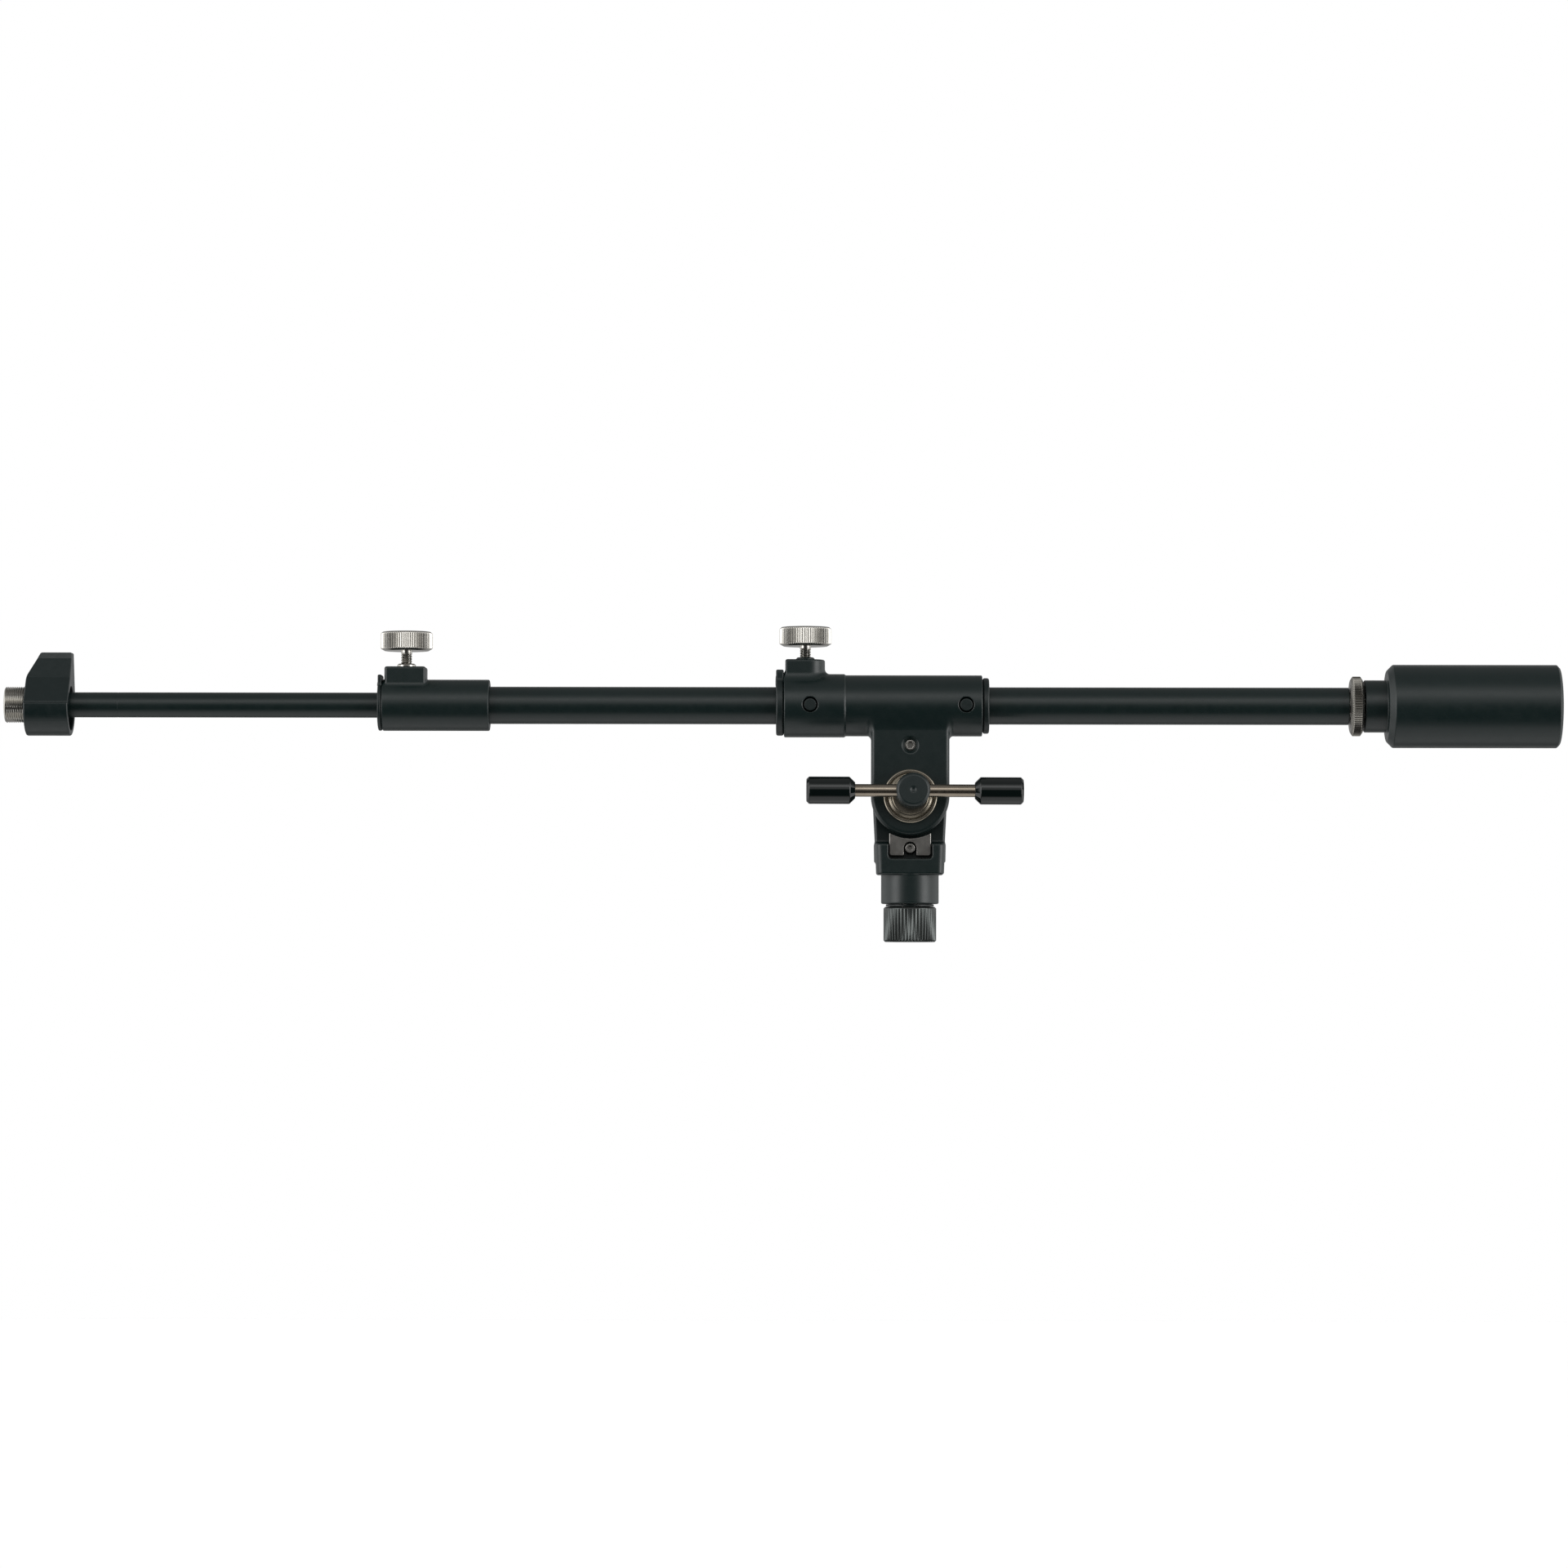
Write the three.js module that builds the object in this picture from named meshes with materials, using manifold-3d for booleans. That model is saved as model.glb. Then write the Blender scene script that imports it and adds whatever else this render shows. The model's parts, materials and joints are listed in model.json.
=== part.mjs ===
// Boom arm for a microphone stand: threaded swivel collar, tilting clamp, telescoping boom, counterweight.
// Millimetres. +Z is up, +X runs towards the counterweight, -Y faces the T handle's side.
// The origin is the centre of the collar's lower face, on the stand's axis.

import * as THREE from 'three';
import { mergeVertices } from 'three/addons/utils/BufferGeometryUtils.js';
import Module from 'manifold-3d';

const wasm = await Module();
wasm.setup();

// Fits and roundness
const runGap = 0.15; // radial gap of a part that turns or slides in another
const seatGap = 0.15; // gap between faces that bear on each other
const fixedGap = 0.15; // radial gap of a part that is fixed in a hole
const roundSides = 24;
const smallSides = 16;

// Stand collar and swivel
const collarOd = 22.6;
const collarHeight = 15.1;
const collarTopThickness = 3.7;
const collarChamfer = 0.6;
const standThreadBore = 15.1; // inside the threads of a 5/8 in - 27 stand thread
const swivelBoltOd = 10;
const swivelHeadRim = 1.5; // how far the bolt's head stands out all round
const swivelHeadHeight = 2.2;
const swivelBoltBite = 4.5; // how far the bolt runs up into the block, above the column
const swivelWasherOd = 20.6;
const swivelWasherThickness = 0.9;

// Base casting
const columnOd = 24.7;
const columnHeight = 12.5;
const blockWidth = 29.8;
const blockFootWidth = 28.8;
const blockDepth = 25.6;
const blockHeight = 13.3;
const blockCorner = 3.4;
const armClearance = 3.35; // from the arm's round end to the block's top
const lugRadius = 16;
const lugFootWidth = 30;
const lugFront = 0.5; // lug's front face, behind the stand's axis
const lugBack = 10.8;

// Pivot
const pivotSleeveOd = 12;
const pivotSleeveReach = 5.5; // how deep the sleeve sits in the lug
const frictionDiscOd = 28;
const boltShankOd = 6;
const nutAcrossFlats = 11;
const nutThickness = 6.5;
const nutPocketDepth = 4.5;

// Stop plate
const stopPlateWidth = 17.8;
const stopPlateThickness = 3.6;
const stopPlateGap = 1.1; // from the arm's round end to the plate's hollow edge
const stopPlateFootBelow = 5.3; // plate's lower edge, below the block's top
const stopPlateSideGap = 0.5;
const stopPlateFootGap = 1.3; // from the plate's lower edge to the notch's floor
const stopPlateCorner = 1.2;
const stopNotchCorner = 1.7;
const stopNotchBack = 3.4; // notch's rear face, ahead of the stand's axis
const stopPinOd = 4.2;
const stopPinBelow = 2.1; // pin's axis below the block's top
const stopPinReach = 7;
const stopPinProud = 0.8; // how far the pin stands out of the plate
const stopSlotWidth = 5.4;

// Tilting arm and housing
const armRadius = 16.75;
const armFront = 10.8;
const armBack = 0.8;
const boomRise = 39.1; // from the hinge up to the boom's axis
const housingWall = 3.3;
const housingLeft = 54; // from the hinge to the housing's left end
const housingRight = 30.9;
const housingCollarStep = 0.5; // how far the left part stands proud of the barrel
const housingCollarLength = 25.4;
const armFillet = 2.4;
const setScrewOd = 4.6;
const setScrewRise = 21.9; // above the hinge
const setScrewLength = 6;
const setScrewDepth = 1.6; // how far its end lies below the arm's face
const setScrewSink = 7.3; // countersink diameter

// Housing bushes
const bushWall = 1.5;
const leftBushLength = 25;
const rightBushLength = 18;
const leftFlangeInset = 0.7; // flange's rim inside the housing's, all round
const leftFlangeThickness = 3.3;
const leftTabBelow = 4.5; // tab's top below the boss's top
const rightFlangeInset = 1.15;
const rightFlangeThickness = 2.8;
const pegOd = 5.4;
const pegHoleOd = 6.5;
const leftPegInset = 11.2; // from the housing's end
const rightPegInset = 7;

// Screw bosses
const boomBossInset = 0.5;
const boomBossLength = 17;
const boomBossWidth = 14.6;
const boomBossRise = 6.6; // above the housing's barrel
const boomScrewInset = 9.1;
const boomInsertRise = 1; // above the boss
const boomKnobGap = 4.8; // from the insert up to the knob
const sleeveBossInset = 1.1;
const sleeveBossLength = 17.7;
const sleeveBossWidth = 14.2;
const sleeveBossRise = 5.4;
const sleeveBossCorner = 1.2;
const sleeveScrewInset = 10.2;
const sleeveInsertRise = 1.4;
const sleeveKnobGap = 5.5;

// Thumb screws
const knobOd = 22.3;
const knobHeight = 8.2;
const knobChamfer = 0.7;
const knobBoreDepth = 6;
const screwOd = 4.8;
const insertOd = 8;
const padOd = 4.6;
const padHeight = 3;

// Main tube and clamp sleeve
const mainTubeWall = 1.5;
const mainTubeLength = 391;
const mainTubeOut = 203; // from the hinge to the tube's left end
const sleeveWall = 2.85;
const sleeveLength = 46;
const sleeveOverlap = 22.7; // length of tube inside the sleeve
const sleeveFlangeInset = 0.05;
const sleeveFlangeThickness = 1.6;
const sleeveTabBelow = 3.5; // tab's top below the boss's top
const sleeveTabInset = 0.2; // tab's sides inside the boss's
const sleeveSetScrewOd = 4;
const sleeveSetScrewInset = 10; // from the sleeve's right end

// Inner tube
const innerTubeOd = 10.8;
const innerTubeWall = 1.2;
const innerTubeLength = 289;
const innerTubeOut = 135.7; // from the sleeve bush's face to the tube's left end
const innerBeadRise = 0.6;
const innerBeadLength = 1.2;
const guideRingLength = 8;
const guideRingWall = 0.8;
const innerPlugLength = 2;
const innerPlugReach = 12;

// Microphone end
const micThreadOd = 15.5; // 5/8 in - 27
const micThreadLength = 24.5;
const micThreadChamfer = 0.6;
const micSpigotLength = 30;
const wingWall = 3.65; // around the threaded ring
const wingLength = 19.1;
const wingInset = 9.1; // thread left showing beyond the wing nut
const wingRise = 9.3; // above the nut's round body
const wingFront = 1; // the wing's front edge, behind the nut's axis
const wingThickness = 6.6;
const wingSlantRise = 12;
const wingSlantRun = 5.6;
const wingFaceWall = 3;
const wingShell = 2.3;
const wingInsertWall = 1.6;
const wingInsertLength = 8;

// Counterweight end
const weightStudOd = 12;
const weightStudReach = 24; // length of stud inside the counterweight
const weightPlugReach = 25;
const lockRingOd = 25.6;
const lockRingLength = 5.8;
const lockRingChamfer = 1.1;
const lockRingGap = 0.35;
const weightNeckOd = 22.4;
const weightNeckLength = 9.7;
const weightOd = 35.7;
const weightLength = 73.9;
const weightLeftChamfer = 2.6;
const weightRightChamfer = 1.2;

// T handle
const thrustWasherOd = 22.8;
const thrustWasherThickness = 3.6;
const thrustRimWidth = 1.3;
const thrustCollarOd = 15.6;
const headOd = 14.5;
const headLength = 13.9;
const headChamfer = 1;
const headGap = 0.75;
const headLeanUp = 3.5; // degrees that the T bolt leans upwards
const headLeanRight = 1.57; // degrees that it leans towards the counterweight
const barOd = 5.4;
const barSpan = 92.3; // over both grips
const barShift = 0.9; // how far the bar is slid to the right
const barDepthInHead = 6.1; // bar's axis behind the head's front face
const gripOd = 11.7;
const gripLength = 20.7;
const gripInnerChamfer = 2.4;
const gripOuterChamfer = 1.1;
const gripBoreDepth = 14;

// Heights and places that follow from the sizes above
const swivelHeadOd = swivelBoltOd + 2 * swivelHeadRim;
const swivelBoltReach = columnHeight + swivelBoltBite;
const hingeAboveBlock = armRadius + armClearance;
const stopNotchWidth = stopPlateWidth + 2 * stopPlateSideGap;
const stopNotchDepth = stopPlateFootBelow + stopPlateFootGap; // below the block's top
const columnFoot = collarHeight + swivelWasherThickness + 2 * seatGap;
const blockFoot = columnFoot + columnHeight;
const hingeHeight = blockFoot + blockHeight + hingeAboveBlock;
const guideRingBore = innerTubeOd + 2 * runGap;
const guideRingOd = guideRingBore + 2 * guideRingWall;
const mainTubeBore = guideRingOd + 2 * runGap;
const mainTubeOd = mainTubeBore + 2 * mainTubeWall;
const innerBeadOd = innerTubeOd + 2 * innerBeadRise;
const bushBore = mainTubeOd + 2 * runGap;
const bushOd = bushBore + 2 * bushWall;
const housingBore = bushOd + 2 * fixedGap;
const housingOd = housingBore + 2 * housingWall;
const housingCollarOd = housingOd + 2 * housingCollarStep;
const leftFlangeOd = housingCollarOd - 2 * leftFlangeInset;
const rightFlangeOd = housingOd - 2 * rightFlangeInset;
const boomBossTop = housingOd / 2 + boomBossRise;
const leftTabTop = boomBossTop - leftTabBelow;
const boomInsertTop = boomBossTop + boomInsertRise;
const boomKnobFoot = boomInsertTop + boomKnobGap;
const sleeveBore = mainTubeOd + 2 * fixedGap;
const sleeveOd = sleeveBore + 2 * sleeveWall;
const sleeveFlangeOd = sleeveOd - 2 * sleeveFlangeInset;
const sleeveBossTop = sleeveOd / 2 + sleeveBossRise;
const sleeveTabTop = sleeveBossTop - sleeveTabBelow;
const sleeveTabWidth = sleeveBossWidth - 2 * sleeveTabInset;
const sleeveInsertTop = sleeveBossTop + sleeveInsertRise;
const sleeveKnobFoot = sleeveInsertTop + sleeveKnobGap;
const sleeveBushOd = mainTubeOd;
const sleeveBushBore = innerTubeOd + 2 * runGap;
const innerTubeBore = innerTubeOd - 2 * innerTubeWall;
const lean = THREE.MathUtils.degToRad(Math.hypot(headLeanUp, headLeanRight));
const wingInsertOd = micThreadOd + 2 * runGap + 2 * wingInsertWall;
const wingBodyOd = wingInsertOd + 2 * fixedGap + 2 * wingWall;
const wingTop = wingBodyOd / 2 + wingRise;
const nutMiddle = lugBack - nutPocketDepth + seatGap + nutThickness / 2;
const washerFront = -armFront - seatGap - thrustWasherThickness;
const headFront = washerFront - headGap - headLength;
const leanThrow = (nutMiddle - washerFront) * Math.tan(lean);
const boltHoleOd = boltShankOd + 2 * (runGap + leanThrow); // clears the leaning bolt

// Finishes
function finish(color, roughness, metalness) {
  return new THREE.MeshStandardMaterial({ color, roughness, metalness, flatShading: true });
}

const blackPaint = finish(0x16191a, 0.42, 0.1);
const blackPlastic = finish(0x131616, 0.5, 0);
const gripBlack = finish(0x08090a, 0.18, 0);
const darkMetal = finish(0x3a3d3e, 0.35, 0.8);
const brightNickel = finish(0xc9c6bd, 0.28, 1);
const warmNickel = finish(0x8f8778, 0.32, 1);
const blackNickel = finish(0x55524b, 0.35, 1);
const greySteel = finish(0x77746d, 0.4, 0.9);
const brass = finish(0xb08d4a, 0.35, 1);
const fibre = finish(0x4b3a2a, 0.8, 0);

// Leaves a geometry with positions only, no doubled vertices and no flat triangles.
function closed(geometry) {
  const bare = geometry.clone();
  bare.deleteAttribute('normal');
  bare.deleteAttribute('uv');
  const merged = mergeVertices(bare, 1e-4);
  const kept = [];
  const { array } = merged.index;
  for (let i = 0; i < array.length; i += 3) {
    const [a, b, c] = [array[i], array[i + 1], array[i + 2]];
    if (a !== b && b !== c && c !== a) kept.push(a, b, c);
  }
  merged.setIndex(kept);
  return merged;
}

function solid(geometry) {
  const merged = closed(geometry);
  const vertProperties = new Float32Array(merged.attributes.position.array);
  const triVerts = new Uint32Array(merged.index.array);
  return new wasm.Manifold(new wasm.Mesh({ numProp: 3, vertProperties, triVerts }));
}

function geometryOf(manifold) {
  const mesh = manifold.getMesh();
  const geometry = new THREE.BufferGeometry();
  geometry.setAttribute('position', new THREE.BufferAttribute(mesh.vertProperties, 3));
  geometry.setIndex(new THREE.BufferAttribute(mesh.triVerts, 1));
  return geometry;
}

function join(first, ...others) {
  return geometryOf(others.reduce((whole, other) => whole.add(solid(other)), solid(first)));
}

function cut(body, ...tools) {
  return geometryOf(tools.reduce((rest, tool) => rest.subtract(solid(tool)), solid(body)));
}

// A solid of revolution about X, Y or Z. Profile points are [radius, distance along the axis];
// a profile that leaves the axis clear is closed into a ring.
function turned(axis, profile, sides = roundSides) {
  const points = profile.map(([radius, along]) => new THREE.Vector2(radius, along));
  if (THREE.ShapeUtils.area(points) < 0) points.reverse();
  const isRing = points[0].x > 0 || points[points.length - 1].x > 0;
  if (isRing) points.push(points[0].clone());
  const geometry = new THREE.LatheGeometry(points, sides);
  if (axis === 'x') geometry.rotateZ(-Math.PI / 2);
  if (axis === 'z') geometry.rotateX(Math.PI / 2);
  return closed(geometry);
}

function rod(axis, diameter, from, to, sides = smallSides) {
  const radius = diameter / 2;
  return turned(axis, [[0, from], [radius, from], [radius, to], [0, to]], sides);
}

function ring(axis, outer, inner, from, to, sides = roundSides) {
  return turned(axis, [[inner / 2, from], [outer / 2, from], [outer / 2, to], [inner / 2, to]], sides);
}

// A cylinder with 45 degree chamfers at both ends.
function chamferedRod(axis, diameter, from, to, fromChamfer, toChamfer, sides = roundSides) {
  const radius = diameter / 2;
  const profile = [
    [0, from], [radius - fromChamfer, from], [radius, from + fromChamfer],
    [radius, to - toChamfer], [radius - toChamfer, to], [0, to],
  ];
  return turned(axis, profile, sides);
}

// Extrudes an XZ outline from one Y to another.
function plateAlongY(outline, fromY, toY, curveSegments = 12) {
  const settings = { depth: toY - fromY, bevelEnabled: false, curveSegments };
  const geometry = new THREE.ExtrudeGeometry(outline, settings);
  return closed(geometry.rotateX(Math.PI / 2).translate(0, toY, 0));
}

// Extrudes a YZ outline from one X to another.
function plateAlongX(outline, fromX, toX, curveSegments = 12) {
  const settings = { depth: toX - fromX, bevelEnabled: false, curveSegments };
  const geometry = new THREE.ExtrudeGeometry(outline, settings);
  const turn = new THREE.Matrix4().makeBasis(
    new THREE.Vector3(0, 1, 0), new THREE.Vector3(0, 0, 1), new THREE.Vector3(1, 0, 0),
  );
  return closed(geometry.applyMatrix4(turn).translate(fromX, 0, 0));
}

function roundedRectangle(left, bottom, width, height, radius) {
  const [right, top] = [left + width, bottom + height];
  const shape = new THREE.Shape();
  shape.absarc(right - radius, top - radius, radius, 0, Math.PI / 2);
  shape.absarc(left + radius, top - radius, radius, Math.PI / 2, Math.PI);
  shape.absarc(left + radius, bottom + radius, radius, Math.PI, Math.PI * 1.5);
  shape.absarc(right - radius, bottom + radius, radius, Math.PI * 1.5, Math.PI * 2);
  return shape;
}

function hexagon(acrossFlats, from, to) {
  const corner = acrossFlats / Math.sqrt(3);
  return turned('y', [[0, from], [corner, from], [corner, to], [0, to]], 6);
}

function group(parent, x, y, z) {
  const made = new THREE.Group();
  made.position.set(x, y, z);
  parent.add(made);
  return made;
}

function piece(parent, name, geometry, material, x = 0, y = 0, z = 0) {
  const mesh = new THREE.Mesh(geometry, material);
  mesh.name = name;
  mesh.position.set(x, y, z);
  parent.add(mesh);
}

// Stand collar: a threaded cup that hangs on the swivel bolt's head.
function standCollar() {
  const outer = collarOd / 2;
  const thread = standThreadBore / 2;
  const hole = swivelBoltOd / 2 + runGap;
  const threadTop = collarHeight - collarTopThickness;
  return turned('z', [
    [thread, 0], [outer - collarChamfer, 0], [outer, collarChamfer],
    [outer, collarHeight - collarChamfer], [outer - collarChamfer, collarHeight],
    [hole, collarHeight], [hole, threadTop], [thread, threadTop],
  ]);
}

function swivelBolt() {
  const headTop = collarHeight - collarTopThickness - seatGap;
  const headFoot = headTop - swivelHeadHeight;
  const [head, shank] = [swivelHeadOd / 2, swivelBoltOd / 2];
  const top = columnFoot + swivelBoltReach - seatGap;
  return turned('z', [
    [0, headFoot], [head, headFoot], [head, headTop], [shank, headTop], [shank, top], [0, top],
  ]);
}

function swivelWasher() {
  const foot = collarHeight + seatGap;
  return ring('z', swivelWasherOd, swivelBoltOd + 2 * runGap, foot, foot + swivelWasherThickness);
}

// The block's sides widen upwards from its foot.
function baseBlock() {
  const outline = roundedRectangle(-blockWidth / 2, -blockDepth / 2, blockWidth, blockDepth, blockCorner);
  const settings = { depth: blockHeight, bevelEnabled: false, curveSegments: 5 };
  const geometry = new THREE.ExtrudeGeometry(outline, settings);
  const { position } = geometry.attributes;
  const footScale = blockFootWidth / blockWidth;
  for (let i = 0; i < position.count; i += 1) {
    const scale = footScale + (1 - footScale) * position.getZ(i) / blockHeight;
    position.setX(i, position.getX(i) * scale);
  }
  return geometry.translate(0, 0, blockFoot);
}

// The lug's outline, drawn about the hinge.
function lugOutline() {
  const shape = new THREE.Shape();
  const foot = -hingeAboveBlock - blockHeight / 4;
  shape.absarc(0, 0, lugRadius, 0, Math.PI);
  shape.lineTo(-lugFootWidth / 2, -hingeAboveBlock);
  shape.lineTo(-lugFootWidth / 2 + 1, foot);
  shape.lineTo(lugFootWidth / 2 - 1, foot);
  shape.lineTo(lugFootWidth / 2, -hingeAboveBlock);
  return shape;
}

function baseCasting() {
  const blockTop = blockFoot + blockHeight;
  const notchHeight = stopNotchDepth + 4 * stopNotchCorner;
  const notch = roundedRectangle(
    -stopNotchWidth / 2, blockTop - stopNotchDepth, stopNotchWidth, notchHeight, stopNotchCorner,
  );
  const column = turned('z', [
    [0, columnFoot], [columnOd / 2 - 0.6, columnFoot], [columnOd / 2, columnFoot + 0.6],
    [columnOd / 2, blockFoot + blockHeight / 2], [0, blockFoot + blockHeight / 2],
  ]);
  const lug = plateAlongY(lugOutline(), lugFront, lugBack).translate(0, 0, hingeHeight);
  const pinEnd = stopPinReach - stopNotchBack + seatGap;
  const pinHole = rod('y', stopPinOd + 2 * fixedGap, -stopNotchBack - 1, pinEnd);
  const sleeveEnd = lugFront + pivotSleeveReach + seatGap;
  const sleeveHole = rod('y', pivotSleeveOd + 2 * fixedGap, lugFront - 1, sleeveEnd);
  return cut(
    join(baseBlock(), column, lug),
    plateAlongY(notch, -blockDepth, -stopNotchBack, 3),
    pinHole.translate(0, 0, blockTop - stopPinBelow),
    sleeveHole.translate(0, 0, hingeHeight),
    rod('y', boltHoleOd, lugFront - 1, lugBack + 1).translate(0, 0, hingeHeight),
    hexagon(nutAcrossFlats + 2 * fixedGap, lugBack - nutPocketDepth, lugBack + 1)
      .translate(0, 0, hingeHeight),
    rod('z', swivelBoltOd + 2 * fixedGap, columnFoot - 1, columnFoot + swivelBoltReach),
  );
}

// Stop plate, drawn about the hinge: hollow top edge, slot for its pin, rounded feet.
function stopPlate() {
  const hollow = armRadius + stopPlateGap;
  const half = stopPlateWidth / 2;
  const corner = stopPlateCorner;
  const foot = -hingeAboveBlock - stopPlateFootBelow;
  const slot = stopSlotWidth / 2;
  const pin = -hingeAboveBlock - stopPinBelow;
  const edge = Math.asin(half / hollow);
  const shape = new THREE.Shape();
  shape.absarc(0, 0, hollow, -Math.PI / 2 - edge, -Math.PI / 2 + edge);
  shape.lineTo(half, foot + corner);
  shape.absarc(half - corner, foot + corner, corner, 0, -Math.PI / 2, true);
  shape.absarc(slot + corner, foot + corner, corner, -Math.PI / 2, -Math.PI, true);
  shape.lineTo(slot, pin);
  shape.absarc(0, pin, slot, 0, Math.PI);
  shape.absarc(-slot - corner, foot + corner, corner, 0, -Math.PI / 2, true);
  shape.absarc(-half + corner, foot + corner, corner, -Math.PI / 2, -Math.PI, true);
  const back = -stopNotchBack - seatGap;
  return plateAlongY(shape, back - stopPlateThickness, back, 8);
}

function stopPlateScrew() {
  const front = -stopNotchBack - stopPlateThickness - stopPinProud;
  return cut(
    chamferedRod('y', stopPinOd, front, stopPinReach - stopNotchBack, 0.4, 0.2, smallSides),
    hexagon(2, front - 1, front + 1.4),
  );
}

function pivotSleeve() {
  return ring('y', pivotSleeveOd, boltHoleOd, -armFront + 1, lugFront + pivotSleeveReach, roundSides);
}

function frictionDisc() {
  return ring('y', frictionDiscOd, pivotSleeveOd + 2 * fixedGap, -armBack + seatGap, lugFront - seatGap);
}

// The nut's bore is widened for the leaning T bolt.
function pivotNut() {
  const from = lugBack - nutPocketDepth + seatGap;
  const bore = boltShankOd + 2 * runGap + nutThickness * Math.tan(lean);
  const to = from + nutThickness;
  return cut(hexagon(nutAcrossFlats, from, to), rod('y', bore, from - 1, to + 1));
}

// Dished washer; distances run from its front face back to the arm.
function thrustWasher() {
  const back = -armFront - seatGap;
  const front = washerFront;
  const bore = boltHoleOd / 2;
  const collar = thrustCollarOd / 2;
  const rim = thrustWasherOd / 2;
  return turned('y', [
    [bore, back], [rim, back], [rim, front + 1.6], [rim - 0.3, front + 1.3],
    [rim - thrustRimWidth, front + 1.3], [rim - thrustRimWidth - 0.4, front + 1.9],
    [collar + 0.9, front + 1.2], [collar + 0.7, front + 0.6], [collar, front + 0.6], [collar - 0.2, front],
    [bore, front],
  ]);
}

// T bolt, drawn along its own axis: the head's front face is at -Y.
function tBolt() {
  const front = headFront;
  const headBack = front + headLength;
  const [head, shank] = [headOd / 2, boltShankOd / 2];
  const tip = lugBack - nutPocketDepth + nutThickness + 1;
  const body = turned('y', [
    [0, front], [head - headChamfer, front], [head, front + headChamfer], [head, headBack],
    [shank, headBack], [shank, tip], [0, tip],
  ]);
  const cross = rod('x', barOd + 2 * runGap, -headOd, headOd).translate(0, front + barDepthInHead, 0);
  return cut(body, cross);
}

function tBar() {
  const reach = barSpan / 2 - gripLength + gripBoreDepth - seatGap;
  return chamferedRod('x', barOd, -reach, reach, 0.4, 0.4, smallSides);
}

// Grip, drawn from its inner end outwards along +X.
function tBarGrip() {
  const [grip, bore] = [gripOd / 2, barOd / 2 + fixedGap];
  return turned('x', [
    [bore, 0], [grip - gripInnerChamfer, 0], [grip, gripInnerChamfer],
    [grip, gripLength - gripOuterChamfer], [grip - gripOuterChamfer, gripLength], [0, gripLength],
    [0, gripBoreDepth], [bore, gripBoreDepth],
  ], smallSides);
}

// The arm's outline, drawn about the hinge and running up into the housing.
function armOutline() {
  const shape = new THREE.Shape();
  shape.absarc(0, 0, armRadius, Math.PI, Math.PI * 2);
  shape.lineTo(armRadius, boomRise);
  shape.lineTo(-armRadius, boomRise);
  return shape;
}

// The fillets where the arm's sides run into the housing.
function armFilletOutline() {
  const top = boomRise - housingOd / 2 + 0.4;
  const side = armRadius + armFillet;
  const shape = new THREE.Shape();
  shape.moveTo(armRadius, top - armFillet);
  shape.absarc(side, top - armFillet, armFillet, Math.PI, Math.PI / 2, true);
  shape.lineTo(side, boomRise);
  shape.lineTo(-side, boomRise);
  shape.absarc(-side, top - armFillet, armFillet, Math.PI / 2, 0, true);
  return shape;
}

// Boss with a flat left end and a round right end, seen from above.
function bossAbove(length, width, axisHeight, top) {
  const half = width / 2;
  const shape = new THREE.Shape();
  shape.moveTo(0, -half);
  shape.lineTo(length - half, -half);
  shape.absarc(length - half, 0, half, -Math.PI / 2, Math.PI / 2);
  shape.lineTo(0, half);
  const geometry = new THREE.ExtrudeGeometry(shape, { depth: top, bevelEnabled: false, curveSegments: 12 });
  return geometry.translate(0, 0, axisHeight);
}

function tiltHousing() {
  const [left, right] = [-housingLeft, housingRight];
  const collarEnd = left + housingCollarLength;
  const [barrel, collar] = [housingOd / 2, housingCollarOd / 2];
  const screwX = left + boomScrewInset;
  const body = turned('x', [
    [0, left], [collar - 0.5, left], [collar, left + 0.5], [collar, collarEnd], [barrel, collarEnd + 1.5],
    [barrel, right - 0.5], [barrel - 0.5, right], [0, right],
  ]).translate(0, 0, boomRise);
  const boss = bossAbove(boomBossLength, boomBossWidth, boomRise, boomBossTop);
  const arm = plateAlongY(armOutline(), -armFront, -armBack, 16);
  const fillets = plateAlongY(armFilletOutline(), -armBack - 4, -armBack, 5);
  const screwEnd = -armFront + setScrewDepth + setScrewLength + seatGap;
  const screwHole = rod('y', setScrewOd + 2 * fixedGap, -armFront - 1, screwEnd);
  const sink = turned('y', [
    [0, -armFront - 1], [setScrewSink / 2 + 1, -armFront - 1],
    [setScrewSink / 2 - 1, -armFront + 1], [0, -armFront + 1],
  ], smallSides);
  const pegHole = rod('y', pegHoleOd, -housingOd, 0);
  return cut(
    join(body, boss.translate(left + boomBossInset, 0, 0), arm, fillets),
    rod('x', housingBore, left - 1, right + 1, roundSides).translate(0, 0, boomRise),
    rod('z', insertOd + 2 * fixedGap, 0, boomBossTop + 1).translate(screwX, 0, boomRise),
    rod('y', pivotSleeveOd + 2 * runGap, -housingOd, housingOd, roundSides),
    screwHole.translate(0, 0, setScrewRise),
    sink.translate(0, 0, setScrewRise),
    pegHole.clone().translate(left + leftPegInset, 0, boomRise),
    pegHole.clone().translate(right - rightPegInset, 0, boomRise),
  );
}

function armSetScrew() {
  const front = -armFront + setScrewDepth;
  return cut(
    chamferedRod('y', setScrewOd, front, front + setScrewLength, 0.3, 0.3, smallSides),
    hexagon(2.5, front - 1, front + 2.5),
  );
}

// A flanged bush along X: flange from -thickness to 0, barrel from 0 to its length.
function flangedBush(bore, barrelOd, barrelLength, flangeOd, thickness) {
  const [inner, barrel, flange] = [bore / 2, barrelOd / 2, flangeOd / 2];
  return turned('x', [
    [inner, -thickness], [flange - 0.8, -thickness], [flange, -thickness + 0.8], [flange, 0],
    [barrel, 0], [barrel, barrelLength], [inner, barrelLength],
  ]);
}

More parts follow.
